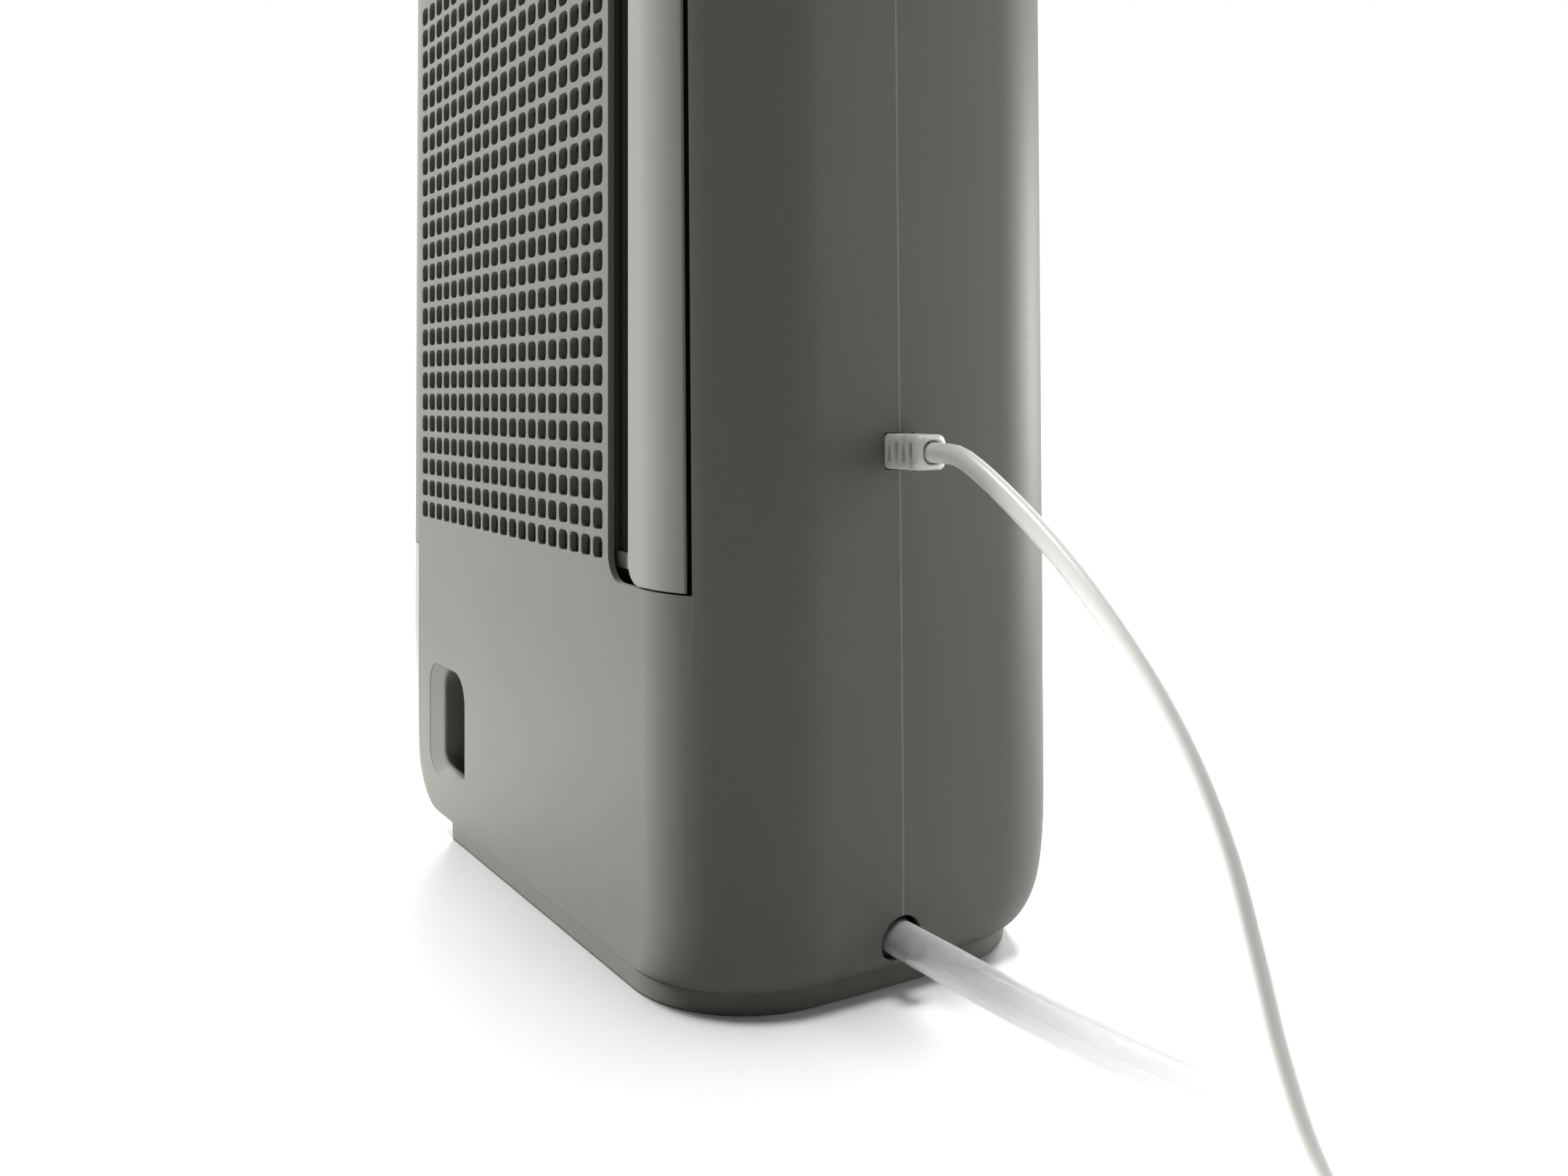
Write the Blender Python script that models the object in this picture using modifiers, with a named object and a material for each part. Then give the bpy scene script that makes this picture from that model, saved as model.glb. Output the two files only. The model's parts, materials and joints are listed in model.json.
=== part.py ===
"""A slim desiccant dehumidifier, with the water tank in its foot and the air filter behind its rear grille.

Metres, +Z up. X runs along the wide faces, +Y is the rear with the grille, and the power cord and the drain
hose leave the side at -X. The origin is on the floor, under the middle of the casing.
"""

import math

import bmesh
import bpy
from mathutils import Matrix, Vector

# Casing
WIDTH = 0.347
DEPTH = 0.180
HEIGHT = 0.488
WIDEST_Z = 0.060  # the sides lean inwards above this height
SIDE_LEAN = 0.015
SIDE_BOW = 0.004
CORNER = 0.048
WALL = 0.0025
GAP = 0.0003
SEAM_Y = 0.013
UNDERSIDE_Z = 0.008
SHELL_TOP_Z = 0.466
CORNER_STEPS = 7

# Curved edges under the casing, as (height where the curve starts, how far it runs in)
NEAR_CURVE = (0.030, 0.0085)
FAR_CURVE = (0.055, 0.031)
FRONT_CURVE = (0.055, 0.013)
FRONT_Y = -0.083
FRONT_LEAN = 0.0038

# Grille, finger slot and filter
PITCH = 0.0107
GRILLE_COLUMNS = 20
GRILLE_FIRST_X = -0.0875
GRILLE_BANDS = 3
GRILLE_BAND = 0.0843
GRILLE_LOW_Z = 0.1498
HOLE = 0.008
SLOT_X = (-0.1129, -0.0965)
SLOT_Z = (0.1425, 0.4105)
SLOT_CORNER = 0.010
WINDOW_EDGE = 0.0240  # from the side of the casing
GRIP_EDGE = 0.0265
GRIP_UNDER_Y = 0.0836
GRIP_Z = (0.1432, 0.4098)
FRAME_X = (-0.0925, 0.1190)
FRAME_Z = (0.1465, 0.4065)
FRAME_RIM = 0.008
HOUSING_FRONT_Y = 0.0700

# Grip recess low on the rear face
RECESS_MOUTH = (
    (0.1085, 0.0800, 0.0120), (0.0580, 0.0800, 0.0140), (0.0580, 0.0320, 0.0015), (0.1085, 0.0240, 0.0120),
)
RECESS_LIP = (
    (0.0912, 0.0785, 0.0090), (0.0586, 0.0785, 0.0125), (0.0586, 0.0326, 0.0014), (0.0912, 0.0326, 0.0080),
)
RECESS_FLOOR = (
    (0.0912, 0.0780, 0.0090), (0.0560, 0.0780, 0.0125), (0.0560, 0.0250, 0.0040), (0.0912, 0.0250, 0.0080),
)
RECESS_LIP_Y = 0.0878
RECESS_FLOOR_Y = 0.0700

# Water tank, which slides out towards +X
TANK_TOP_Z = 0.1357
TANK_END_X = 0.1253
TANK_IN_X = (-0.055, 0.1300)
TANK_IN_Y = (-0.0560, 0.062)
TANK_WALL = 0.0024
LID_Z = (0.1265, 0.1285)
DECK_Z = (0.1385, 0.1410)
BAY_WALL_X = (-0.0620, -0.0595)

# Foot
PLINTH_Z = (0.0, 0.0077)
PLINTH_FAR_X = 0.076
FOOT_RADIUS = 0.009
FOOT_PLACES = ((-0.135, 0.062), (-0.135, -0.052), (0.055, 0.062), (0.055, -0.052))
SCREW_PLACES = ((-0.155, 0.030), (-0.152, -0.034), (-0.075, 0.066), (-0.075, -0.0585))

# Drying wheel and fans, all on axes along Y
ROTOR_CENTRE = (0.010, 0.283)
ROTOR_RADIUS = 0.098
ROTOR_Y = (0.0290, 0.0450)
PINION_RADIUS = 0.008
MESH_GAP = 0.0005
FAN_CENTRE = (0.002, 0.283)
FAN_RADIUS = 0.070
FAN_Y = (-0.060, -0.020)
SCROLL_Y = (-0.068, -0.012)
BLOWER_CENTRE = (-0.113, 0.070)
BLOWER_Y = (-0.045, -0.010)

# Top
TOP_Z = (0.4665, HEIGHT)
OUTLET_X = (-0.095, 0.095)
OUTLET_Y = (-0.028, 0.022)
LOUVRE_AXIS = (0.0195, 0.4858)
PANEL_X = (-0.100, 0.100)
PANEL_Y = (-0.076, -0.040)
PANEL_Z = (0.4846, 0.4874)
PANEL_FLOOR_Z = 0.4820
BUTTON_RADIUS = 0.0060
BUTTON_Z = (0.4836, 0.4878)
BUTTON_FIRST_X = -0.080
BUTTON_PITCH = 0.022
LENS_X = (0.020, 0.090)
HANDLE_WELL_X = (-0.075, 0.075)
HANDLE_WELL_Y = (0.032, 0.076)
HANDLE_WELL_Z = 0.4735
HANDLE_X = 0.069
HANDLE_Y = (0.041, 0.0695)
HANDLE_Z = 0.4805
HANDLE_RADIUS = 0.0045

# Power cord
CORD_RADIUS = 0.0035
CORD_FLOOR_Z = 0.0037
GLAND_Z = 0.191
GLAND_HALF_Y = 0.0064
GLAND_HALF_Z = 0.0061
GLAND_TIP_X = -0.1945
CORD_ROUTE = (
    (-0.1951, 0.0130, 0.1910), (-0.2020, 0.0130, 0.1905), (-0.2120, 0.0130, 0.1866), (-0.2260, 0.0129, 0.1785),
    (-0.2410, 0.0126, 0.1684),
    (-0.2570, 0.0122, 0.1560), (-0.2720, 0.0119, 0.1426), (-0.2870, 0.0118, 0.1270), (-0.3010, 0.0121, 0.1085),
    (-0.3125, 0.0129, 0.0880), (-0.3215, 0.0144, 0.0660), (-0.3300, 0.0162, 0.0450), (-0.3405, 0.0175, 0.0255),
    (-0.3540, 0.0183, 0.0112), (-0.3650, 0.0181, 0.0058),
)
CORD_COIL_CENTRE = (-0.4000, 0.0605)
CORD_COIL_RADII = (0.0285, 0.0495)
CORD_COIL_Z = (0.0013, 0.0144)

# Drain hose
HOSE_RADIUS = 0.0065
HOSE_FLOOR_Z = 0.0067
DRAIN_Z = 0.020
DRAIN_HOLE_RADIUS = 0.0085
HOSE_ROUTE = (
    (-0.1659, 0.0130, 0.0200), (-0.1800, 0.0130, 0.0199), (-0.1960, 0.0123, 0.0195), (-0.2120, 0.0108, 0.0184),
    (-0.2280, 0.0080, 0.0167), (-0.2440, 0.0040, 0.0147), (-0.2610, -0.0014, 0.0125), (-0.2780, -0.0078, 0.0100),
    (-0.2950, -0.0142, 0.0079), (-0.3130, -0.0196, 0.0067), (-0.3370, -0.0237, 0.0067), (-0.3630, -0.0249, 0.0067),
    (-0.3890, -0.0238, 0.0067),
)
HOSE_COIL_CENTRE = (-0.4400, -0.0950)
HOSE_COIL_RADII = (0.0650, 0.0780)
HOSE_COIL_Z = (0.0015, 0.0275)

# Finishes, as colour, roughness and metallic
FINISHES = {
    "casing": ((0.105, 0.105, 0.092), 0.55, 0.0),
    "dark_plastic": ((0.030, 0.030, 0.028), 0.5, 0.0),
    "black_gloss": ((0.010, 0.010, 0.012), 0.12, 0.0),
    "light_plastic": ((0.50, 0.49, 0.46), 0.45, 0.0),
    "white_plastic": ((0.70, 0.70, 0.68), 0.4, 0.0),
    "tank_plastic": ((0.20, 0.21, 0.20), 0.25, 0.0),
    "clear_plastic": ((0.75, 0.80, 0.80), 0.08, 0.0),
    "filter_net": ((0.08, 0.08, 0.08), 0.8, 0.0),
    "zeolite": ((0.55, 0.48, 0.36), 0.9, 0.0),
    "steel": ((0.55, 0.55, 0.56), 0.3, 1.0),
    "zinc_sheet": ((0.45, 0.46, 0.48), 0.4, 1.0),
    "rubber": ((0.020, 0.020, 0.020), 0.85, 0.0),
    "circuit_board": ((0.020, 0.120, 0.050), 0.4, 0.0),
    "cord_vinyl": ((0.55, 0.54, 0.52), 0.45, 0.0),
}


def clear_scene():
    for obj in list(bpy.data.objects):
        bpy.data.objects.remove(obj, do_unlink=True)


def new_collection(name):
    collection = bpy.data.collections.new(name)
    bpy.context.scene.collection.children.link(collection)
    return collection


clear_scene()
PARTS = new_collection("dehumidifier")
CUTTERS = new_collection("cutters")
CUTTERS.hide_render = True


def own_material(name, finish):
    colour, roughness, metallic = FINISHES[finish]
    material = bpy.data.materials.new(name)
    material.use_nodes = True
    shader = material.node_tree.nodes["Principled BSDF"]
    shader.inputs["Base Color"].default_value = (*colour, 1.0)
    shader.inputs["Roughness"].default_value = roughness
    shader.inputs["Metallic"].default_value = metallic
    return material


def link(name, data, finish):
    """A part with its own material, or a cutter where finish is None."""
    obj = bpy.data.objects.new(name, data)
    if finish is None:
        CUTTERS.objects.link(obj)
        obj.hide_render = True
        obj.display_type = "WIRE"
    else:
        PARTS.objects.link(obj)
        data.materials.append(own_material(name, finish))
    return obj


def mesh_of(name, bm):
    mesh = bpy.data.meshes.new(name)
    bm.to_mesh(mesh)
    bm.free()
    return mesh


def smooth(obj, angle=35.0):
    obj.data.shade_smooth()
    obj.data.set_sharp_from_angle(angle=math.radians(angle))
    return obj


def bevel(obj, width, segments=2):
    modifier = obj.modifiers.new("rounded edges", "BEVEL")
    modifier.width = width
    modifier.segments = segments
    return obj


def solidify(obj, thickness):
    modifier = obj.modifiers.new("wall", "SOLIDIFY")
    modifier.thickness = thickness
    modifier.offset = -1.0
    return obj


def boolean(obj, operation, tools):
    for tool in tools:
        modifier = obj.modifiers.new(tool.name, "BOOLEAN")
        modifier.operation = operation
        modifier.object = tool
    return obj


def cut(obj, *tools):
    return boolean(obj, "DIFFERENCE", tools)


def join(obj, *tools):
    return boolean(obj, "UNION", tools)


def keep_inside(obj, *tools):
    return boolean(obj, "INTERSECT", tools)


def set_origin(obj, point):
    """Moves the object's origin to its joint's axis and leaves its shape in place."""
    shift = Vector(point) - obj.location
    obj.data.transform(Matrix.Translation(-(obj.matrix_basis.to_3x3().inverted() @ shift)))
    obj.location = point
    return obj


def box(name, x, y, z, finish=None, edge=0.0):
    bm = bmesh.new()
    bmesh.ops.create_cube(bm, size=1.0)
    bmesh.ops.scale(bm, vec=(x[1] - x[0], y[1] - y[0], z[1] - z[0]), verts=bm.verts)
    obj = link(name, mesh_of(name, bm), finish)
    obj.location = ((x[0] + x[1]) / 2, (y[0] + y[1]) / 2, (z[0] + z[1]) / 2)
    return bevel(obj, edge) if edge else obj


def rod(name, start, end, radius, finish=None, sides=24, end_radius=None):
    """A round bar from start to end, or a cone where end_radius differs."""
    start, end = Vector(start), Vector(end)
    bm = bmesh.new()
    bmesh.ops.create_cone(
        bm,
        cap_ends=True,
        segments=sides,
        radius1=radius,
        radius2=radius if end_radius is None else end_radius,
        depth=(end - start).length,
    )
    obj = link(name, mesh_of(name, bm), finish)
    turn = (end - start).to_track_quat("Z", "Y")
    obj.data.transform(turn.to_matrix().to_4x4())
    obj.location = (start + end) / 2
    return smooth(obj)


def plate(name, outline, depth, axis, finish=None):
    """A flat outline, given in the two other axes, extruded over depth along Y or Z."""
    curve = bpy.data.curves.new(name, "CURVE")
    curve.dimensions = "2D"
    curve.fill_mode = "BOTH"
    curve.extrude = (depth[1] - depth[0]) / 2
    spline = curve.splines.new("POLY")
    spline.points.add(len(outline) - 1)
    for point, place in zip(spline.points, outline):
        point.co = (*place, 0.0, 1.0)
    spline.use_cyclic_u = True
    obj = link(name, curve, finish)
    middle = (depth[0] + depth[1]) / 2
    if axis == "Y":
        obj.rotation_euler = (math.pi / 2, 0.0, 0.0)
        obj.location = (0.0, middle, 0.0)
    else:
        obj.location = (0.0, 0.0, middle)
    return as_mesh(obj, finish)


def as_mesh(curve_obj, finish):
    """The curve as a mesh with its caps welded, so that it can be cut or joined."""
    name = curve_obj.name
    bpy.context.view_layer.update()
    graph = bpy.context.evaluated_depsgraph_get()
    mesh = bpy.data.meshes.new_from_object(curve_obj.evaluated_get(graph))
    matrix = curve_obj.matrix_world.copy()
    curve = curve_obj.data
    bpy.data.objects.remove(curve_obj)
    bpy.data.curves.remove(curve)
    bm = bmesh.new()
    bm.from_mesh(mesh)
    bmesh.ops.remove_doubles(bm, verts=bm.verts, dist=1e-6)
    bmesh.ops.recalc_face_normals(bm, faces=bm.faces)
    bm.to_mesh(mesh)
    bm.free()
    mesh.materials.clear()
    for old in [m for m in bpy.data.materials if m.name == name and m.users == 0]:
        bpy.data.materials.remove(old)
    obj = link(name, mesh, finish)
    obj.matrix_world = matrix
    return obj


def tube(name, points, radius, finish, rings=2):
    """A solid round tube along the points."""
    curve = bpy.data.curves.new(name, "CURVE")
    curve.dimensions = "3D"
    curve.bevel_depth = radius
    curve.bevel_resolution = rings
    curve.use_fill_caps = True
    spline = curve.splines.new("POLY")
    spline.points.add(len(points) - 1)
    for point, place in zip(spline.points, points):
        point.co = (*place, 1.0)
    return link(name, curve, finish)


def ring(name, centre, radii, z, finish, sides=32):
    """A flat ring of square section, turned about a vertical axis."""
    profile = ((radii[1], z[1]), (radii[1], z[0]), (radii[0], z[0]), (radii[0], z[1]))
    bm = bmesh.new()
    corners = [bm.verts.new((r, 0.0, height)) for r, height in profile]
    for i in range(len(corners)):
        bm.edges.new((corners[i], corners[(i + 1) % len(corners)]))
    obj = link(name, mesh_of(name, bm), finish)
    screw = obj.modifiers.new("turned", "SCREW")
    screw.steps = sides
    screw.render_steps = sides
    screw.use_merge_vertices = True
    screw.merge_threshold = 1e-5
    obj.location = (*centre, 0.0)
    return obj


def loft(name, rings, finish=None, closed=True, capped=True):
    """A skin through rings of equal length, each anticlockwise and ordered upwards, so that it faces out."""
    bm = bmesh.new()
    rows = [[bm.verts.new(point) for point in ring_points] for ring_points in rings]
    count = len(rows[0])
    steps = range(count) if closed else range(count - 1)
    for low, high in zip(rows, rows[1:]):
        for i in steps:
            j = (i + 1) % count
            bm.faces.new((low[i], low[j], high[j], high[i]))
    if capped:
        bm.faces.new(reversed(rows[0]))
        bm.faces.new(rows[-1])
    obj = link(name, mesh_of(name, bm), finish)
    return smooth(obj)


def smooth_route(route, step):
    """Points about a step apart on a smooth curve through the route's points."""
    places = [Vector(point) for point in route]
    places = [2 * places[0] - places[1], *places, 2 * places[-1] - places[-2]]
    found = []
    for before, start, end, after in zip(places, places[1:], places[2:], places[3:]):
        pieces = max(1, round((end - start).length / step))
        for k in range(pieces):
            t = k / pieces
            found.append(
                0.5
                * (
                    2 * start
                    + (end - before) * t
                    + (2 * before - 5 * start + 4 * end - after) * t**2
                    + (3 * start - before - 3 * end + after) * t**3
                )
            )
    found.append(places[-2])
    return found


def arc(centre, radius, start, end, steps):
    """Points on an arc in its own plane, with angles in degrees."""
    found = []
    for k in range(steps + 1):
        angle = math.radians(start + (end - start) * k / steps)
        found.append((centre[0] + radius * math.cos(angle), centre[1] + radius * math.sin(angle)))
    return found


def rounded_rectangle(x, y, corner, steps=4):
    found = []
    for cx, cy, start in (
        (x[1] - corner, y[1] - corner, 0.0),
        (x[0] + corner, y[1] - corner, 90.0),
        (x[0] + corner, y[0] + corner, 180.0),
        (x[1] - corner, y[0] + corner, 270.0),
    ):
        found += arc((cx, cy), corner, start, start + 90.0, steps)
    return found


def rounded_corners(corners, steps=4):
    """An outline through corners given as X, Z and radius, each of them rounded off."""
    found = []
    for before, (x, z, radius), after in zip((corners[-1], *corners[:-1]), corners, (*corners[1:], corners[0])):
        here = Vector((x, z))
        back = (Vector(before[:2]) - here).normalized()
        onward = (Vector(after[:2]) - here).normalized()
        half = back.angle(onward) / 2
        middle = here + (back + onward).normalized() * (radius / math.sin(half))
        start, end = (here + way * (radius / math.tan(half)) - middle for way in (back, onward))
        turn = start.angle(end)
        for k in range(steps + 1):
            share = k / steps
            spoke = start * math.sin((1.0 - share) * turn) + end * math.sin(share * turn)
            found.append(tuple(middle + spoke / math.sin(turn)))
    return found


# Form of the casing


def run_in(z, curve):
    """How far a curved lower edge has run in at a height."""
    start, depth = curve
    drop = min(max((start - z) / (start - UNDERSIDE_Z), 0.0), 1.0)
    return depth * (1.0 - math.sqrt(1.0 - drop**2))


def near_x(z):
    return -WIDTH / 2 + SIDE_LEAN * max(0.0, z - WIDEST_Z) + run_in(z, NEAR_CURVE)


def far_x(z):
    return WIDTH / 2 - SIDE_LEAN * max(0.0, z - WIDEST_Z) - run_in(z, FAR_CURVE)


def front_y(z):
    tuck = FRONT_LEAN * (SHELL_TOP_Z - min(max(z, WIDEST_Z), SHELL_TOP_Z))
    return FRONT_Y + tuck + run_in(z, FRONT_CURVE)


def bowed(side, y, inset):
    """X on a bowed side of the casing, where side is its X at the middle of the depth."""
    inwards = -1.0 if side > 0 else 1.0
    return side + inwards * (inset + SIDE_BOW * (2 * y / DEPTH) ** 2)


def quarter(side, end, sign, inset):
    """The corner between a side and the front or rear, from the side to the end face."""
    radius = CORNER - inset
    turn_y = end - sign * radius
    edge = bowed(side, turn_y, inset)
    middle = side - math.copysign(CORNER, side)
    return [
        (middle + (edge - middle) * math.cos(angle), turn_y + sign * radius * math.sin(angle))
        for angle in (math.pi / 2 * k / CORNER_STEPS for k in range(CORNER_STEPS + 1))
    ]


def rear_half(z, seam=SEAM_Y, inset=0.0):
    """The plan of the rear half at a height, from the seam at +X round the rear to the seam at -X."""
    end = DEPTH / 2 - inset
    far = [(bowed(far_x(z), seam, inset), seam), *quarter(far_x(z), end, 1.0, inset)]
    near = [(bowed(near_x(z), seam, inset), seam), *quarter(near_x(z), end, 1.0, inset)]
    return [(x, y, z) for x, y in far + near[::-1]]


def front_half(z, seam=SEAM_Y, inset=0.0):
    """The plan of the front half at a height, from the seam at -X round the front to the seam at +X."""
    end = front_y(z) + inset
    near = [(bowed(near_x(z), seam, inset), seam), *quarter(near_x(z), end, -1.0, inset)]
    far = [(bowed(far_x(z), seam, inset), seam), *quarter(far_x(z), end, -1.0, inset)]
    return [(x, y, z) for x, y in near + far[::-1]]


def full_plan(z, inset=0.0, height=None):
    """The whole plan at height z, placed at another height where one is given."""
    points = rear_half(z, inset=inset)[:-1] + front_half(z, inset=inset)[:-1]
    return [(x, y, z if height is None else height) for x, y, _ in points]


SHELL_LEVELS = (UNDERSIDE_Z, 0.0095, 0.013, 0.019, 0.028, 0.040, WIDEST_Z, SHELL_TOP_Z)


def tank_end_cutter(name):
    return box(name, (TANK_END_X - GAP, 0.25), (-0.12, 0.12), (0.0, TANK_TOP_Z + 2 * GAP))


def gland_cutter(name):
    return box(
        name,
        (-0.19, -0.155),
        (SEAM_Y - GLAND_HALF_Y - GAP, SEAM_Y + GLAND_HALF_Y + GAP),
        (GLAND_Z - GLAND_HALF_Z - GAP, GLAND_Z + GLAND_HALF_Z + GAP),
    )


def drain_cutter(name):
    return rod(name, (-0.19, SEAM_Y, DRAIN_Z), (-0.15, SEAM_Y, DRAIN_Z), DRAIN_HOLE_RADIUS)


def window_outline():
    """The opening for the finger slot and the grip bar, in X and Z, with its slanting outer edge."""
    inner = SLOT_X[1]
    return [
        *arc((inner - SLOT_CORNER, SLOT_Z[0] + SLOT_CORNER), SLOT_CORNER, -90.0, 0.0, 4),
        *arc((inner - SLOT_CORNER, SLOT_Z[1] - SLOT_CORNER), SLOT_CORNER, 0.0, 90.0, 4),
        (near_x(SLOT_Z[1]) + WINDOW_EDGE, SLOT_Z[1]),
        (near_x(SLOT_Z[0]) + WINDOW_EDGE, SLOT_Z[0]),
    ]


def grille_cutters():
    """One cutter for each column of each band of holes."""
    found = []
    for column in range(GRILLE_COLUMNS):
        middle = GRILLE_FIRST_X + column * PITCH
        for band in range(GRILLE_BANDS):
            low = GRILLE_LOW_Z + band * GRILLE_BAND
            high = low + GRILLE_BAND - (PITCH - HOLE)
            found.append(
                box(
                    f"hole_{column}_{band}",
                    (middle - HOLE / 2, middle + HOLE / 2),
                    (0.080, 0.100),
                    (low, high),
                )
            )
    return found


def one_cutter(name, pieces):
    """The pieces, which don't touch, as one cutter."""
    bm = bmesh.new()
    for piece in pieces:
        piece.data.transform(Matrix.Translation(piece.location))
        bm.from_mesh(piece.data)
        bpy.data.objects.remove(piece)
    return link(name, mesh_of(name, bm), None)


def rear_shell():
    rings = [rear_half(z, SEAM_Y + GAP) for z in SHELL_LEVELS]
    shell = solidify(loft("rear_shell", rings, "casing", closed=False, capped=False), WALL)
    recess = rounded_corners(RECESS_MOUTH)
    return cut(
        shell,
        one_cutter("grille_holes", grille_cutters()),
        plate("grip_window", window_outline(), (0.070, 0.100), "Y"),
        plate("recess_window", recess, (0.080, 0.100), "Y"),
        tank_end_cutter("tank_end_rear"),
        gland_cutter("gland_hole_rear"),
        drain_cutter("drain_hole_rear"),
    )


def front_shell():
    rings = [front_half(z, SEAM_Y - GAP) for z in SHELL_LEVELS]
    shell = solidify(loft("front_shell", rings, "casing", closed=False, capped=False), WALL)
    return cut(
        shell,
        plate("level_slot", rounded_rectangle((0.052, 0.064), (0.040, 0.118), 0.005), (-0.1, -0.076), "Y"),
        tank_end_cutter("tank_end_front"),
        gland_cutter("gland_hole_front"),
        drain_cutter("drain_hole_front"),
    )


def level_window():
    outline = rounded_rectangle((0.0523, 0.0637), (0.0403, 0.1177), 0.0047)
    return plate("level_window", outline, (-0.0814, -0.0794), "Y", "clear_plastic")


def grown(corners, amount):
    """The corners moved out from their middle, or in where the amount is negative."""
    middle_x = sum(corner[0] for corner in corners) / 4
    middle_z = sum(corner[1] for corner in corners) / 4
    return [
        (x + math.copysign(amount, (x - middle_x) * amount), z + math.copysign(amount, (z - middle_z) * amount),
         max(radius + amount, 0.0010))
        for x, z, radius in corners
    ]


def grip_cup():
    """The finger recess: a sloping mouth, widest at +X, then a well with a lower floor behind it."""
    mouth = grown(RECESS_MOUTH, -GAP)
    steps = ((0.0688, grown(RECESS_FLOOR, 0.0012)), (0.0845, grown(RECESS_LIP, 0.0012)),
             (0.0862, mouth), (0.0898, mouth), (0.0898, grown(mouth, -0.0008)),
             (RECESS_LIP_Y, RECESS_LIP), (RECESS_FLOOR_Y, RECESS_FLOOR))
    bm = bmesh.new()
    rows = [[bm.verts.new((px, y, pz)) for px, pz in rounded_corners(corners)] for y, corners in steps]
    for outer, inner in zip(rows, rows[1:]):
        for i in range(len(outer)):
            j = (i + 1) % len(outer)
            bm.faces.new((outer[i], outer[j], inner[j], inner[i]))
    bm.faces.new(rows[0])
    bm.faces.new(rows[-1])
    bmesh.ops.recalc_face_normals(bm, faces=bm.faces)
    return smooth(link("grip_cup", mesh_of("grip_cup", bm), "casing"))


def base_pan():
    """The plinth: a slab that follows the underside of the casing and stops short of the tank's end."""
    z = UNDERSIDE_Z
    rings = [full_plan(z, 0.0005, PLINTH_Z[0]), full_plan(z, 0.0003, PLINTH_Z[1])]
    pan = loft("base_pan", rings, "casing")
    keep_inside(pan, box("plinth_end", (-0.25, PLINTH_FAR_X), (-0.12, 0.12), (-0.01, 0.02)))
    for number, (x, y) in enumerate(FOOT_PLACES, 1):
        cut(pan, rod(f"foot_seat_{number}", (x, y, -0.01), (x, y, 0.0030), FOOT_RADIUS + GAP))
    for number, (x, y) in enumerate(SCREW_PLACES, 1):
        cut(pan, rod(f"screw_seat_{number}", (x, y, -0.01), (x, y, 0.0048), 0.0042, sides=16))
        cut(pan, rod(f"screw_hole_{number}", (x, y, 0.0), (x, y, 0.02), 0.0021, sides=12))
    return pan


def feet_and_screws():
    for number, (x, y) in enumerate(FOOT_PLACES, 1):
        rod(f"foot_{number}", (x, y, 0.0), (x, y, 0.0027), FOOT_RADIUS - 0.001, "rubber", end_radius=FOOT_RADIUS)
    for number, (x, y) in enumerate(SCREW_PLACES, 1):
        head = rod(f"base_screw_{number}", (x, y, 0.0022), (x, y, 0.0045), 0.0036, "steel", sides=16)
        shank = rod(f"shank_{number}", (x, y, 0.0040), (x, y, 0.0140), 0.0018, sides=12)
        join(head, shank)


# Tank and the bay it slides in


def chassis():
    """The deck over the tank bay, with the wall that divides the bay from the blower."""
    deck = loft("chassis", [full_plan(DECK_Z[0], 0.0040), full_plan(DECK_Z[0], 0.0040, DECK_Z[1])], "dark_plastic")
    cut(deck, rod("spout_hole", (0.020, 0.056, 0.13), (0.020, 0.056, 0.15), 0.0080))
    cut(deck, rod("pipe_hole", (-0.076, 0.056, 0.13), (-0.076, 0.056, 0.15), 0.0055))
    return join(deck, box("bay_wall", BAY_WALL_X, (-0.0660, 0.0700), (0.0083, DECK_Z[0] + 0.001)))


def water_tank():
    levels = (UNDERSIDE_Z, 0.0095, 0.013, 0.019, 0.028, 0.040, WIDEST_Z, TANK_TOP_Z)
    tank = loft("water_tank", [full_plan(z) for z in levels], "tank_plastic")
    keep_inside(tank, box("tank_end", (TANK_END_X + GAP, 0.25), (-0.12, 0.12), (-0.01, 0.2)))
    join(tank, box("tank_body", TANK_IN_X, TANK_IN_Y, (0.0085, TANK_TOP_Z)))
    hollow = (0.0110, 0.019, 0.028, 0.040, WIDEST_Z, TANK_TOP_Z + 0.01)
    end = loft("tank_end_hollow", [full_plan(z, TANK_WALL) for z in hollow])
    keep_inside(end, box("tank_end_limit", (TANK_END_X + TANK_WALL, 0.25), (-0.12, 0.12), (0.0, 0.2)))
    middle = box(
        "tank_hollow",
        (TANK_IN_X[0] + TANK_WALL, TANK_IN_X[1] + 0.002),
        (TANK_IN_Y[0] + TANK_WALL, TANK_IN_Y[1] - TANK_WALL),
        (0.0109, 0.2),
    )
    return cut(tank, end, middle)


def tank_lid():
    x = (TANK_IN_X[0] + TANK_WALL + GAP, 0.1275)
    y = (TANK_IN_Y[0] + TANK_WALL + GAP, TANK_IN_Y[1] - TANK_WALL - GAP)
    lid = box("tank_lid", x, y, LID_Z, "dark_plastic")
    return cut(lid, rod("fill_hole", (0.020, 0.045, 0.12), (0.020, 0.045, 0.14), 0.0120))


FLOAT_AXIS = (-0.0460, 0.1180)


def tank_float():
    """The float on its arm, whose pivot lies along Y near the inner end of the tank."""
    x, z = FLOAT_AXIS
    block = box("tank_float", (x + 0.016, x + 0.052), (-0.026, 0.010), (z - 0.0160, z - 0.002), "white_plastic")
    arm = box("float_arm", (x - 0.0025, x + 0.020), (-0.012, -0.004), (z - 0.005, z + 0.0015))
    pivot = rod("float_pivot", (x, -0.020, z), (x, 0.004, z), 0.0025, sides=16)
    join(block, arm, pivot)
    return set_origin(block, (x, -0.008, z))


def tank_switch():
    return box("tank_switch", (-0.0745, -0.0623), (-0.018, 0.002), (0.112, 0.124), "dark_plastic", 0.0008)


# Filter


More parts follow.
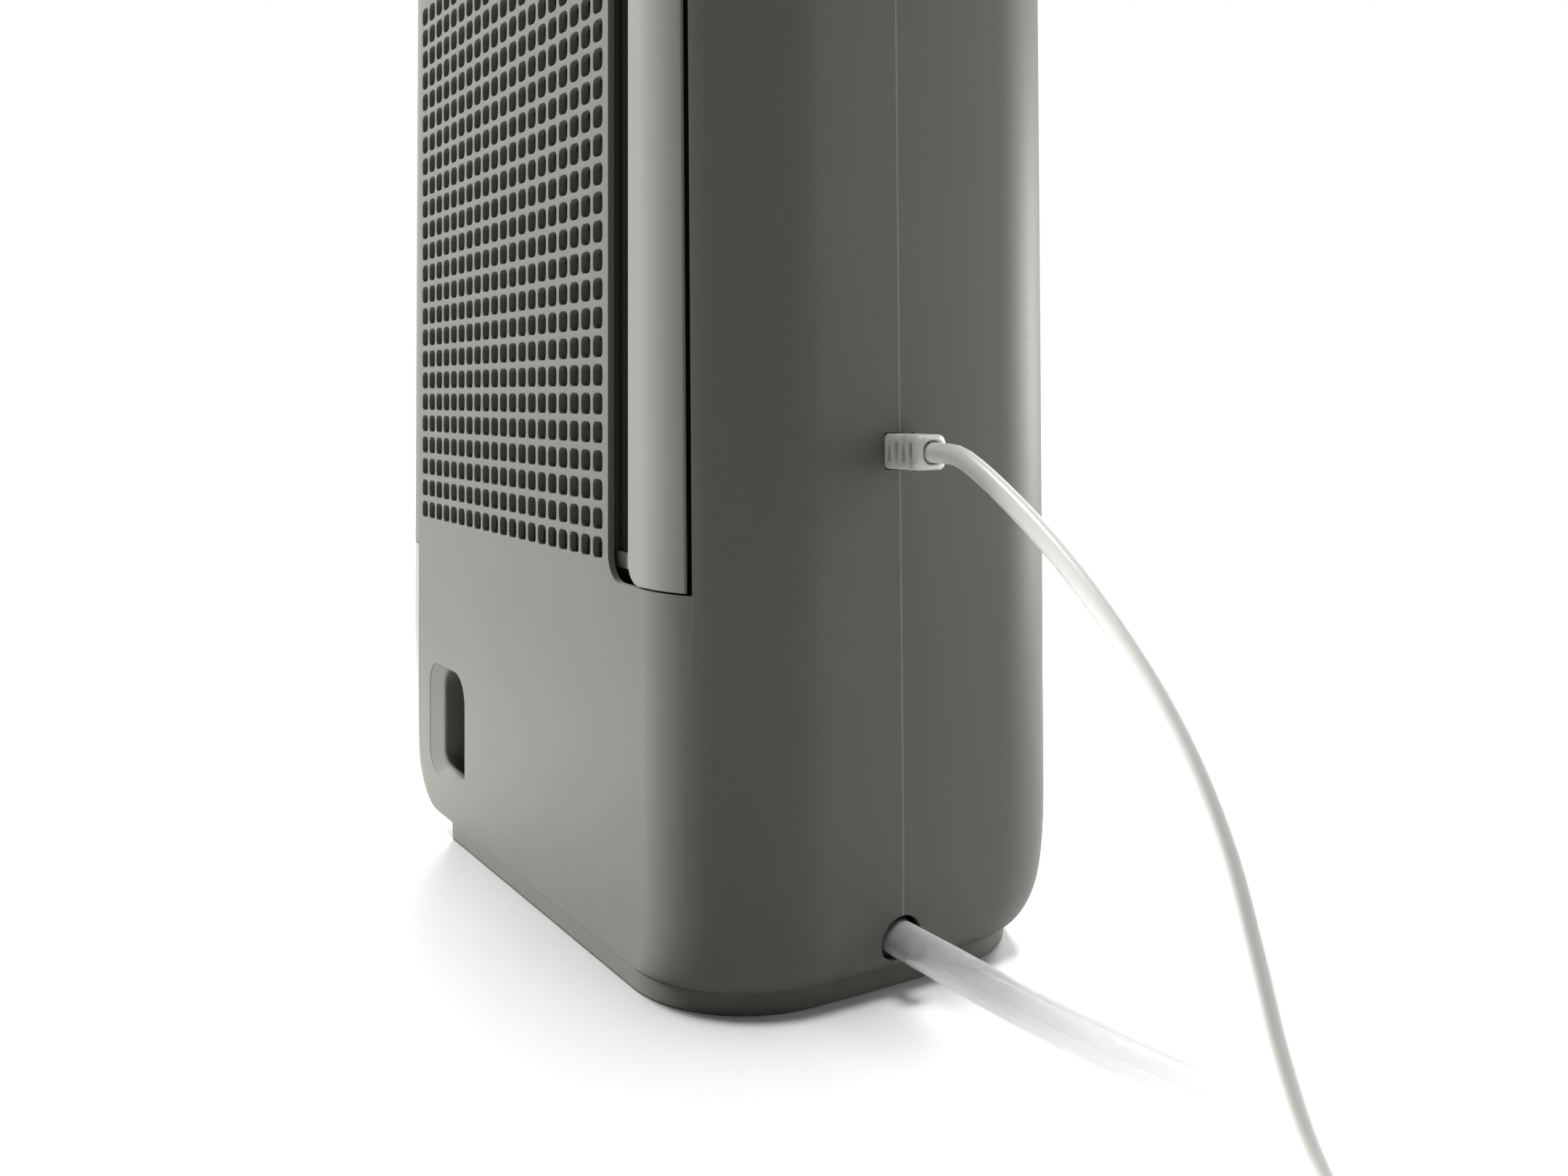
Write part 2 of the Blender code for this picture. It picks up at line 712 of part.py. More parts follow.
def filter_housing():
    """The fixed frame that the filter slides on, with the pocket for the fingers."""
    x = (-0.1340, 0.1225)
    z = (0.1440, 0.4090)
    housing = box("filter_housing", x, (HOUSING_FRONT_Y, GRIP_UNDER_Y - GAP), z, "dark_plastic")
    air = box("filter_air", (-0.084, 0.1100), (0.05, 0.10), (FRAME_Z[0] + 0.009, FRAME_Z[1] - 0.009))
    pocket = box("finger_pocket", (-0.1210, -0.0955), (0.0725, 0.10), (0.1560, 0.3970))
    return cut(housing, air, pocket)


def filter_frame():
    frame = box("filter_frame", FRAME_X, (GRIP_UNDER_Y, 0.0871), FRAME_Z, "dark_plastic")
    x = (FRAME_X[0] + FRAME_RIM, FRAME_X[1] - FRAME_RIM)
    z = (FRAME_Z[0] + FRAME_RIM, FRAME_Z[1] - FRAME_RIM)
    return cut(frame, box("filter_opening", x, (0.07, 0.10), z))


def filter_mesh():
    x = (FRAME_X[0] + FRAME_RIM + GAP, FRAME_X[1] - FRAME_RIM - GAP)
    z = (FRAME_Z[0] + FRAME_RIM + GAP, FRAME_Z[1] - FRAME_RIM - GAP)
    return box("filter_mesh", x, (0.0850, 0.0858), z, "filter_net")


def grip_profile(z):
    """The bar's section at a height: its outer face follows the casing's corner, and its underside is flat."""
    tip = near_x(z) + GRIP_EDGE
    outer = [(SLOT_X[0], DEPTH / 2)]
    outer += [point for point in quarter(near_x(z), DEPTH / 2, 1.0, 0.0)[::-1] if tip < point[0] < SLOT_X[0]]
    turn = near_x(z) + CORNER
    reach = turn - bowed(near_x(z), DEPTH / 2 - CORNER, 0.0)
    fall = CORNER * (1.0 - math.sqrt(1.0 - ((turn - tip) / reach) ** 2))
    return [*outer, (tip, DEPTH / 2 - fall), (tip, GRIP_UNDER_Y), (SLOT_X[0], GRIP_UNDER_Y)]


def filter_grip_bar():
    rings = [[(x, y, z) for x, y in grip_profile(z)] for z in (GRIP_Z[0], WIDEST_Z + 0.2, GRIP_Z[1])]
    bar = loft("filter_grip_bar", rings, "casing")
    reach = (SLOT_X[0] - 0.004, FRAME_X[0] - GAP)
    for name, low in (("low_arm", FRAME_Z[0] + 0.0005), ("high_arm", FRAME_Z[1] - 0.0065)):
        join(bar, box(name, reach, (GRIP_UNDER_Y, GRIP_UNDER_Y + 0.0016), (low, low + 0.006)))
    return bar


# Drying parts


def condenser():
    """A flat moulded heat exchanger: two headers with upright channels between them."""
    block = box("condenser", (-0.078, 0.106), (0.0520, 0.0660), (0.1560, 0.4000), "light_plastic")
    slots = []
    for k in range(11):
        left = -0.070 + k * 0.0158
        slots.append(box(f"channel_{k}", (left, left + 0.007), (0.04, 0.08), (0.1700, 0.3860)))
    return cut(block, one_cutter("channels", slots))


def at(centre, y):
    return (centre[0], y, centre[1])


def pinion_centre():
    reach = (ROTOR_RADIUS + PINION_RADIUS + MESH_GAP) * math.sqrt(0.5)
    return (ROTOR_CENTRE[0] + reach, ROTOR_CENTRE[1] - reach)


def rotor_housing():
    body = box("rotor_housing", (-0.100, 0.122), (0.0250, 0.0460), (0.1480, 0.4080), "dark_plastic")
    y = (0.01, 0.06)
    centre = pinion_centre()
    cut(body, rod("rotor_hole", at(ROTOR_CENTRE, y[0]), at(ROTOR_CENTRE, y[1]), ROTOR_RADIUS + 0.0012, sides=48))
    cut(body, rod("pinion_hole", at(centre, y[0]), at(centre, y[1]), PINION_RADIUS + 0.0012))
    middle = ROTOR_CENTRE[0]
    join(body, box("rotor_bridge", (middle - 0.008, middle + 0.008), (0.0250, 0.0284), (0.180, 0.390)))
    return cut(body, rod("axle_hole", at(ROTOR_CENTRE, 0.01), at(ROTOR_CENTRE, 0.06), 0.0044))


def desiccant_rotor():
    rotor = rod("desiccant_rotor", at(ROTOR_CENTRE, ROTOR_Y[0]), at(ROTOR_CENTRE, ROTOR_Y[1]), ROTOR_RADIUS,
                "zeolite", sides=48)
    cut(rotor, rod("rotor_bore", at(ROTOR_CENTRE, 0.01), at(ROTOR_CENTRE, 0.06), 0.0044))
    return set_origin(rotor, at(ROTOR_CENTRE, sum(ROTOR_Y) / 2))


def rotor_axle():
    axle = rod("rotor_axle", at(ROTOR_CENTRE, 0.0240), at(ROTOR_CENTRE, 0.0475), 0.0040, "steel")
    return join(axle, rod("axle_head", at(ROTOR_CENTRE, 0.0455), at(ROTOR_CENTRE, 0.0490), 0.0070))


def rotor_pinion():
    centre = pinion_centre()
    pinion = rod("rotor_pinion", at(centre, 0.0300), at(centre, 0.0440), PINION_RADIUS, "white_plastic", sides=16)
    join(pinion, rod("pinion_shaft", at(centre, 0.0250), at(centre, 0.0310), 0.0025, sides=12))
    return set_origin(pinion, at(centre, 0.0370))


def rotor_motor():
    centre = pinion_centre()
    return rod("rotor_motor", at(centre, 0.0040), at(centre, 0.0245), 0.0200, "zinc_sheet")


def heater_cover():
    """The hood over the part of the rotor that is being dried, with its hollow towards the rotor."""
    x, z = ROTOR_CENTRE
    sector = [(x, z + 0.014), *arc((x, z), 0.092, 60.0, 120.0, 8)]
    hollow = [(x, z + 0.024), *arc((x, z), 0.088, 64.0, 116.0, 8)]
    hood = plate("heater_cover", sector, (-0.0080, 0.0245), "Y", "zinc_sheet")
    return cut(hood, plate("heater_hollow", hollow, (-0.006, 0.03), "Y"))


def fan_scroll():
    scroll = plate("fan_scroll", fan_outline(0.0), SCROLL_Y, "Y", "dark_plastic")
    hollow = plate("scroll_hollow", fan_outline(0.002), (SCROLL_Y[0] + 0.002, SCROLL_Y[1] - 0.002), "Y")
    inlet = rod("fan_inlet", at(FAN_CENTRE, -0.03), at(FAN_CENTRE, 0.0), 0.056, sides=32)
    shaft_hole = rod("fan_shaft_hole", at(FAN_CENTRE, -0.09), at(FAN_CENTRE, -0.05), 0.0060)
    return cut(scroll, hollow, inlet, shaft_hole)


def fan_outline(wall):
    """The spiral and the throat, moved in by the wall, in X and Z."""
    x, z = FAN_CENTRE
    points = []
    for k in range(21):
        turn = k / 20
        radius = 0.080 + 0.018 * turn - wall
        angle = math.radians(35.0 - 215.0 * turn)
        points.append((x + radius * math.cos(angle), z + radius * math.sin(angle)))
    top = 0.462 + (0.01 if wall else 0.0)
    return [*points, (points[-1][0], top), (points[0][0], top)]


def fan_wheel():
    """A backward-facing blower wheel: a back plate with a hub, a shaft and a ring of blades."""
    wheel = rod("fan_wheel", at(FAN_CENTRE, FAN_Y[0]), at(FAN_CENTRE, FAN_Y[0] + 0.003), FAN_RADIUS,
                "dark_plastic", sides=32)
    join(wheel, rod("fan_hub", at(FAN_CENTRE, FAN_Y[0] - 0.0180), at(FAN_CENTRE, FAN_Y[0] + 0.016), 0.0045, sides=16))
    for k in range(12):
        angle = 2 * math.pi * k / 12
        blade = box(f"blade_{k}", (0.052, 0.068), (FAN_Y[0] + 0.001, FAN_Y[1]), (-0.001, 0.001))
        middle = blade.location.copy()
        turn = Matrix.Rotation(-angle, 4, "Y") @ Matrix.Translation(Vector((middle.x, 0.0, 0.0)))
        lean = Matrix.Rotation(math.radians(35.0), 4, "Y")
        blade.matrix_world = Matrix.Translation(Vector(at(FAN_CENTRE, middle.y))) @ turn @ lean
        join(wheel, blade)
    return set_origin(wheel, at(FAN_CENTRE, FAN_Y[0]))


def fan_motor():
    motor = rod("fan_motor", at(FAN_CENTRE, -0.0790), at(FAN_CENTRE, -0.0686), 0.0290, "zinc_sheet", sides=32)
    return cut(motor, rod("motor_bore", at(FAN_CENTRE, -0.0785), at(FAN_CENTRE, -0.05), 0.0050, sides=16))


def regen_blower():
    body = rod("regen_blower", at(BLOWER_CENTRE, BLOWER_Y[0]), at(BLOWER_CENTRE, BLOWER_Y[1]), 0.040, "dark_plastic",
               sides=32)
    hollow = rod("blower_hollow", at(BLOWER_CENTRE, BLOWER_Y[0] + 0.002), at(BLOWER_CENTRE, BLOWER_Y[1] - 0.002),
                 0.038, sides=32)
    inlet = rod("blower_inlet", at(BLOWER_CENTRE, -0.02), at(BLOWER_CENTRE, 0.0), 0.024)
    return cut(body, hollow, inlet)


def regen_wheel():
    wheel = rod("regen_wheel", at(BLOWER_CENTRE, -0.0420), at(BLOWER_CENTRE, -0.0400), 0.033, "light_plastic")
    join(wheel, rod("regen_hub", at(BLOWER_CENTRE, -0.0405), at(BLOWER_CENTRE, -0.0180), 0.0080, sides=16))
    for k in range(6):
        blade = box(f"vane_{k}", (0.006, 0.032), (-0.0405, -0.0180), (-0.0008, 0.0008))
        middle = blade.location.copy()
        turn = Matrix.Rotation(-math.pi * k / 3, 4, "Y") @ Matrix.Translation(Vector((middle.x, 0.0, 0.0)))
        blade.matrix_world = Matrix.Translation(Vector(at(BLOWER_CENTRE, middle.y))) @ turn
        join(wheel, blade)
    return set_origin(wheel, at(BLOWER_CENTRE, -0.0420))


def drip_tray():
    tray = box("drip_tray", (-0.085, 0.112), (0.0485, 0.0690), (0.1416, 0.1545), "light_plastic")
    cut(tray, box("tray_hollow", (-0.083, 0.110), (0.0503, 0.0672), (0.1436, 0.2)))
    join(tray, rod("spout", (0.020, 0.056, 0.1364), (0.020, 0.056, 0.1440), 0.0065))
    return cut(tray, rod("spout_bore", (0.020, 0.056, 0.12), (0.020, 0.056, 0.16), 0.0045))


DRAIN_PIPE = (
    (-0.0760, 0.0560, 0.1410), (-0.0765, 0.0560, 0.1200), (-0.0800, 0.0550, 0.0900), (-0.0880, 0.0520, 0.0600),
    (-0.1000, 0.0440, 0.0360), (-0.1160, 0.0290, 0.0240), (-0.1290, 0.0168, 0.0203), (-0.1410, 0.0132, 0.0200),
    (-0.1500, 0.0130, 0.0200),
)


def drain_parts():
    tube("drain_pipe", smooth_route(DRAIN_PIPE, 0.012), 0.0040, "clear_plastic")
    flange = rod("drain_spigot", (-0.1655, SEAM_Y, DRAIN_Z), (-0.1610, SEAM_Y, DRAIN_Z), 0.0088, "dark_plastic")
    join(flange, rod("spigot_stem", (-0.1620, SEAM_Y, DRAIN_Z), (-0.1503, SEAM_Y, DRAIN_Z), 0.0055))


# Top


def top_plan(z, inset):
    return full_plan(TOP_Z[0], inset, z)


def handle_pin_cutter(sign):
    start = (sign * 0.0700, HANDLE_Y[1], HANDLE_Z)
    return rod(f"pin_hole_{sign}", start, (sign * 0.0850, HANDLE_Y[1], HANDLE_Z), 0.0023, sides=16)


def top_cover():
    """The lid of the casing: a domed shell with wells for the panel and the handle and a duct for the air."""
    levels = ((TOP_Z[0], 0.0), (0.4760, 0.0004), (0.4815, 0.0022), (0.4850, 0.0050), (0.4870, 0.0085), (HEIGHT, 0.0145))
    cover = loft("top_cover", [top_plan(z, inset) for z, inset in levels], "casing")
    inner = [(0.4600, WALL), (0.4760, 0.0029), (0.4805, 0.0050), (0.4830, 0.0080), (0.4850, 0.0130)]
    core = loft("cover_core", [top_plan(z, inset) for z, inset in inner])
    wall = 0.002
    wells = (
        ("outlet", OUTLET_X, OUTLET_Y, 0.40),
        ("panel_well", PANEL_X, PANEL_Y, PANEL_FLOOR_Z),
        ("handle_well", HANDLE_WELL_X, HANDLE_WELL_Y, HANDLE_WELL_Z),
    )
    for name, x, y, floor in wells:
        around = ((x[0] - wall, x[1] + wall), (y[0] - wall, y[1] + wall))
        cut(core, box(name + "_walls", *around, (floor - wall, 0.6)))
    cut(cover, core)
    for name, x, y, floor in wells:
        cut(cover, box(name, x, y, (floor, 0.6)))
    cut(cover, handle_pin_cutter(-1), handle_pin_cutter(1))
    return cover


def louvre():
    y = (OUTLET_Y[0] + 0.0008, OUTLET_Y[1] - 0.0012)
    flap = box("louvre", (OUTLET_X[0] + 0.0008, OUTLET_X[1] - 0.0008), y, (0.4852, 0.4876), "casing", 0.0006)
    barrel = rod("louvre_barrel", (-0.0940, *LOUVRE_AXIS), (0.0940, *LOUVRE_AXIS), 0.0016, sides=12)
    join(flap, barrel)
    return set_origin(flap, (0.0, *LOUVRE_AXIS))


def button_places():
    names = ("power", "mode", "humidity", "timer")
    middle = sum(PANEL_Y) / 2
    return [(f"button_{name}", BUTTON_FIRST_X + k * BUTTON_PITCH, middle) for k, name in enumerate(names)]


def control_panel():
    x = (PANEL_X[0] + GAP, PANEL_X[1] - GAP)
    y = (PANEL_Y[0] + GAP, PANEL_Y[1] - GAP)
    panel = box("control_panel", x, y, PANEL_Z, "black_gloss")
    for name, bx, by in button_places():
        cut(panel, rod(name + "_hole", (bx, by, 0.47), (bx, by, 0.50), BUTTON_RADIUS + GAP))
    return cut(panel, box("lens_window", LENS_X, (PANEL_Y[0] + 0.008, PANEL_Y[1] - 0.008), (0.47, 0.50)))


def display_lens():
    x = (LENS_X[0] + GAP, LENS_X[1] - GAP)
    y = (PANEL_Y[0] + 0.008 + GAP, PANEL_Y[1] - 0.008 - GAP)
    return box("display_lens", x, y, (PANEL_Z[0], PANEL_Z[1] + 0.0002), "clear_plastic")


def buttons():
    for name, x, y in button_places():
        cap = rod(name, (x, y, BUTTON_Z[0]), (x, y, BUTTON_Z[1]), BUTTON_RADIUS, "light_plastic")
        set_origin(cap, (x, y, BUTTON_Z[1]))


def control_board():
    return box("control_board", (-0.095, 0.095), (-0.074, -0.042), (0.4750, 0.4766), "circuit_board")


def carry_handle():
    """A bail that lies in its well and turns up about its two pins."""
    low, high = HANDLE_Y
    bend = 0.012
    corner_near = [(-x, y) for x, y in arc((HANDLE_X - bend, low + bend), bend, 0.0, -90.0, 5)]
    corner_far = arc((HANDLE_X - bend, low + bend), bend, -90.0, 0.0, 5)
    path = [(-HANDLE_X, high + 0.003), *corner_near, *corner_far, (HANDLE_X, high + 0.003)]
    bail = tube("carry_handle", [(x, y, HANDLE_Z) for x, y in path], HANDLE_RADIUS, "casing")
    return set_origin_of_curve(bail, (0.0, high, HANDLE_Z))


def set_origin_of_curve(obj, point):
    obj.data.transform(Matrix.Translation(-Vector(point)))
    obj.location = point
    return obj


def handle_pins():
    for name, sign in (("handle_pin_near", -1), ("handle_pin_far", 1)):
        start = (sign * 0.0738, HANDLE_Y[1], HANDLE_Z)
        rod(name, start, (sign * 0.0800, HANDLE_Y[1], HANDLE_Z), 0.0020, "steel", sides=16)


# Electrics


def main_board():
    board = box("main_board", (-0.1500, -0.1484), (-0.062, 0.004), (0.1700, 0.3600), "circuit_board")
    join(board, box("supply_can", (-0.1490, -0.1250), (-0.050, -0.010), (0.300, 0.340)))
    return join(board, box("terminal", (-0.1490, -0.1350), (-0.012, 0.003), (0.1800, 0.2020)))


def humidity_sensor():
    return box("humidity_sensor", (-0.1200, -0.1060), (0.0540, 0.0640), (0.3000, 0.3240), "white_plastic", 0.0010)


def cable_gland():
    y = (SEAM_Y - GLAND_HALF_Y, SEAM_Y + GLAND_HALF_Y)
    z = (GLAND_Z - GLAND_HALF_Z, GLAND_Z + GLAND_HALF_Z)
    body = box("cable_gland", (GLAND_TIP_X, -0.1600), y, z, "light_plastic", 0.0012)
    flange = box("gland_flange", (-0.1684, -0.1650), (y[0] - 0.003, y[1] + 0.003), (z[0] - 0.003, z[1] + 0.003))
    return join(body, flange)


def coil_tie(name, centre, radii, z, finish):
    """A strap round one side of a coil, on the side away from the casing."""
    band = 0.0010
    half = 0.006
    inner_edge = math.sqrt(radii[0] ** 2 - half**2) - GAP
    x = (centre[0] - radii[1] - GAP - band, centre[0] - inner_edge + GAP + band)
    y = (centre[1] - half, centre[1] + half)
    strap = box(name, x, y, (z[0] - GAP - band, z[1] + GAP + band), finish)
    hollow = box(name + "_hollow", (x[0] + band, x[1] - band), (y[0] - 0.01, y[1] + 0.01), (z[0] - GAP, z[1] + GAP))
    return cut(strap, hollow)


PLUG_START = (-0.4290, 0.0145, 0.0130)
PLUG_LENGTH = 0.044


def power_plug():
    """A round two-pin plug, lying beside the coil with its cord end towards the coil."""
    x, y, z = PLUG_START
    body = rod("power_plug", (x, y, z), (x - 0.016, y, z), 0.0050, "cord_vinyl", sides=16, end_radius=0.0090)
    join(body, rod("plug_grip", (x - 0.0155, y, z), (x - PLUG_LENGTH + 0.008, y, z), 0.0120, sides=20))
    join(body, rod("plug_face", (x - PLUG_LENGTH + 0.009, y, z), (x - PLUG_LENGTH, y, z), 0.0125, sides=20))
    for sign in (-1, 1):
        pin = rod(f"plug_pin_{sign}", (x - PLUG_LENGTH + 0.002, y + sign * 0.0070, z),
                  (x - PLUG_LENGTH - 0.016, y + sign * 0.0070, z), 0.0020, sides=12)
        join(body, pin)
    return body


def cords():
    tube("power_cord", smooth_route(CORD_ROUTE, 0.014), CORD_RADIUS, "cord_vinyl")
    ring("power_cord_coil", CORD_COIL_CENTRE, CORD_COIL_RADII, CORD_COIL_Z, "cord_vinyl")
    coil_tie("cord_tie", CORD_COIL_CENTRE, CORD_COIL_RADII, CORD_COIL_Z, "rubber")
    tube("drain_hose", smooth_route(HOSE_ROUTE, 0.018), HOSE_RADIUS, "clear_plastic")
    ring("drain_hose_coil", HOSE_COIL_CENTRE, HOSE_COIL_RADII, HOSE_COIL_Z, "clear_plastic", sides=40)
    coil_tie("hose_tie", HOSE_COIL_CENTRE, HOSE_COIL_RADII, HOSE_COIL_Z, "rubber")


def build():
    rear_shell()
    front_shell()
    level_window()
    grip_cup()
    base_pan()
    feet_and_screws()
    chassis()
    water_tank()
    tank_lid()
    tank_float()
    tank_switch()
    filter_housing()
    filter_frame()
    filter_mesh()
    filter_grip_bar()
    condenser()
    rotor_housing()
    desiccant_rotor()
    rotor_axle()
    rotor_pinion()
    rotor_motor()
    heater_cover()
    fan_scroll()
    fan_wheel()
    fan_motor()
    regen_blower()
    regen_wheel()
    drip_tray()
    drain_parts()
    top_cover()
    louvre()
    control_panel()
    display_lens()
    buttons()
    control_board()
    carry_handle()
    handle_pins()
    main_board()
    humidity_sensor()
    cable_gland()
    cords()
    power_plug()


build()
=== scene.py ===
"""The finished look of a slim desiccant dehumidifier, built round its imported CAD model.

Metres, +Z up. The sizes below repeat those of the CAD source, and the outer pieces are its shapes built more finely.
The grip recess is lower here than in the CAD, and the cable gland is shorter.
"""

import json
import math

import bmesh
import bpy
from mathutils import Matrix, Vector

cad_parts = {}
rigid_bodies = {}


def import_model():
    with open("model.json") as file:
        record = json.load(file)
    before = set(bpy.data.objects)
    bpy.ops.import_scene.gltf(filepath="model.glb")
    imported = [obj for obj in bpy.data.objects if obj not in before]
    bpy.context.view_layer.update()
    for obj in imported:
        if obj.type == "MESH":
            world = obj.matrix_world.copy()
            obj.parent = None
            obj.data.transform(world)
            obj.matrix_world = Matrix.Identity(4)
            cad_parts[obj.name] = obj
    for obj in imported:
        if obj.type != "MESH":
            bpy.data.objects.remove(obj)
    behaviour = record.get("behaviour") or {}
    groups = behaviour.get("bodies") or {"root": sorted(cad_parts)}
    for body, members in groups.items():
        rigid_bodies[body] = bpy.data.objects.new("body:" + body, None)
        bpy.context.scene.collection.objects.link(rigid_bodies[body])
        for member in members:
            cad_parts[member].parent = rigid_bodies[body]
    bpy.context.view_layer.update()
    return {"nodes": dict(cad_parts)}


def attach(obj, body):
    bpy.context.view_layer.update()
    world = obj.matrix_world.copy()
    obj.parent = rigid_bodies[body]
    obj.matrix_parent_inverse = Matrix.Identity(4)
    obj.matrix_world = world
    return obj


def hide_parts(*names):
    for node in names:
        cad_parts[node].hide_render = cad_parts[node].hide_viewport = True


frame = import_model()
NODES = frame["nodes"]

# Casing
WIDTH = 0.347
DEPTH = 0.180
HEIGHT = 0.488
WIDEST_Z = 0.060
SIDE_LEAN = 0.015
SIDE_BOW = 0.004
CORNER = 0.048
WALL = 0.0025
GAP = 0.0003
SEAM_Y = 0.013
UNDERSIDE_Z = 0.008
SHELL_TOP_Z = 0.466
CORNER_STEPS = 20
NEAR_CURVE = (0.030, 0.0085)
FAR_CURVE = (0.055, 0.031)
FRONT_CURVE = (0.055, 0.013)
FRONT_Y = -0.083
FRONT_LEAN = 0.0038

# Grille, finger slot and grip bar
PITCH = 0.0107
COLUMNS = 20
ROWS = 24
FIRST_HOLE = (-0.0875, 0.1538)
HOLE = 0.008
HOLE_CORNER = 0.0022
SLOT_X = (-0.1129, -0.0965)
SLOT_Z = (0.1425, 0.4105)
SLOT_CORNER = 0.010
WINDOW_EDGE = 0.0240
GRIP_EDGE = 0.0265
GRIP_UNDER_Y = 0.0836
GRIP_Z = (0.1432, 0.4098)
GRIP_CORNER = 0.008
FRAME_X = (-0.0925, 0.1190)
FRAME_Z = (0.1465, 0.4065)

# Grip recess
RECESS_MOUTH = (
    (0.1085, 0.0800, 0.0120), (0.0580, 0.0800, 0.0140), (0.0580, 0.0320, 0.0015), (0.1085, 0.0240, 0.0120),
)
RECESS_LIP = (
    (0.0912, 0.0785, 0.0090), (0.0586, 0.0785, 0.0125), (0.0586, 0.0288, 0.0014), (0.0912, 0.0326, 0.0080),
)
RECESS_FLOOR = (
    (0.0912, 0.0780, 0.0090), (0.0560, 0.0780, 0.0125), (0.0560, 0.0195, 0.0040), (0.0912, 0.0195, 0.0080),
)

# Tank and foot
TANK_TOP_Z = 0.1357
TANK_END_X = 0.1253
TANK_IN_X = (-0.055, 0.1300)
TANK_IN_Y = (-0.0560, 0.062)
TANK_WALL = 0.0024
PLINTH_Z = (0.0, 0.0077)
PLINTH_FAR_X = 0.076
FOOT_RADIUS = 0.009
FOOT_PLACES = ((-0.135, 0.062), (-0.135, -0.052), (0.055, 0.062), (0.055, -0.052))
# Screws 2 and 4 stand 2.2 and 3.5 mm from their places in the CAD
SCREW_PLACES = ((-0.155, 0.030), (-0.153, -0.036), (-0.075, 0.066), (-0.075, -0.062))

# Top
TOP_Z = (0.4665, HEIGHT)
OUTLET_X = (-0.095, 0.095)
OUTLET_Y = (-0.028, 0.022)
LOUVRE_AXIS = (0.0195, 0.4858)
PANEL_X = (-0.100, 0.100)
PANEL_Y = (-0.076, -0.040)
PANEL_FLOOR_Z = 0.4820
BUTTON_RADIUS = 0.0060
BUTTON_Z = (0.4836, 0.4878)
BUTTON_FIRST_X = -0.080
BUTTON_PITCH = 0.022
HANDLE_WELL_X = (-0.075, 0.075)
HANDLE_WELL_Y = (0.032, 0.076)
HANDLE_WELL_Z = 0.4735
HANDLE_X = 0.069
HANDLE_Y = (0.041, 0.0695)
HANDLE_Z = 0.4805
HANDLE_RADIUS = 0.0045

# Power cord
CORD_RADIUS = 0.0035
GLAND_Z = 0.191
GLAND_HALF_Y = 0.0064
GLAND_HALF_Z = 0.0061
GLAND_SLOT_X = -0.1724
GLAND_SLOT_WIDTH = 0.0021
GLAND_SLOT_PITCH = 0.0040
CORD_ROUTE = (
    (-0.1885, 0.0130, 0.1910), (-0.2020, 0.0130, 0.1905), (-0.2120, 0.0130, 0.1866), (-0.2260, 0.0129, 0.1785),
    (-0.2410, 0.0126, 0.1684), (-0.2570, 0.0122, 0.1560), (-0.2720, 0.0119, 0.1426), (-0.2870, 0.0118, 0.1270),
    (-0.3010, 0.0121, 0.1085), (-0.3125, 0.0129, 0.0880), (-0.3215, 0.0144, 0.0660), (-0.3300, 0.0162, 0.0450),
    (-0.3405, 0.0175, 0.0255), (-0.3540, 0.0183, 0.0112), (-0.3650, 0.0181, 0.0058),
)
CORD_COIL_CENTRE = (-0.4000, 0.0605)
CORD_TURN_RADII = (0.0460, 0.0390, 0.0320, 0.0320, 0.0390, 0.0460)
CORD_TURN_Z = (0.0038, 0.0038, 0.0038, 0.0108, 0.0108, 0.0108)
PLUG_START = (-0.4290, 0.0145, 0.0130)
PLUG_LENGTH = 0.044

# Drain hose
HOSE_RADIUS = 0.0065
HOSE_BORE = 0.0048
DRAIN_Z = 0.020
DRAIN_HOLE_RADIUS = 0.0085
HOSE_ROUTE = (
    (-0.1659, 0.0130, 0.0200), (-0.1800, 0.0130, 0.0199), (-0.1960, 0.0123, 0.0195), (-0.2120, 0.0108, 0.0184),
    (-0.2280, 0.0080, 0.0167), (-0.2440, 0.0040, 0.0147), (-0.2610, -0.0014, 0.0125), (-0.2780, -0.0078, 0.0100),
    (-0.2950, -0.0142, 0.0079), (-0.3130, -0.0196, 0.0067), (-0.3370, -0.0237, 0.0067), (-0.3630, -0.0249, 0.0067),
    (-0.3890, -0.0238, 0.0067),
)
HOSE_COIL_CENTRE = (-0.4400, -0.0950)
HOSE_TURN_RADIUS = 0.0715
HOSE_TURNS = 1.60
HOSE_REST_Z = 0.0067
HOSE_RISE = 0.0134


# Camera
FOCAL_LENGTH = 30.83
CAMERA_PLACE = (-0.546, 0.302, 0.210)
CAMERA_AIM = (0.842, -0.541, 0.0)
CAMERA_SHIFT_Y = -0.122


def make_camera():
    data = bpy.data.cameras.new("camera")
    data.sensor_width = 36.0
    data.lens = FOCAL_LENGTH
    data.shift_y = CAMERA_SHIFT_Y
    data.clip_start = 0.01
    camera = bpy.data.objects.new("camera", data)
    bpy.context.scene.collection.objects.link(camera)
    camera.location = CAMERA_PLACE
    camera.rotation_euler = Vector(CAMERA_AIM).to_track_quat("-Z", "Y").to_euler()
    bpy.context.scene.camera = camera


make_camera()


# Materials


def add_node(tree, kind):
    return tree.nodes.new("ShaderNode" + kind)


def set_inputs(node, values):
    for name, value in values.items():
        node.inputs[name].default_value = value


def new_material(name, rough, metallic=0.0, specular=0.5):
    material = bpy.data.materials.new(name)
    material.use_nodes = True
    shader = material.node_tree.nodes["Principled BSDF"]
    set_inputs(shader, {"Roughness": rough, "Metallic": metallic, "Specular IOR Level": specular})
    return material, material.node_tree, shader


def by_object(tree, texture):
    """Places a texture in the object's own metres."""
    place = add_node(tree, "TexCoord")
    tree.links.new(place.outputs["Object"], texture.inputs["Vector"])


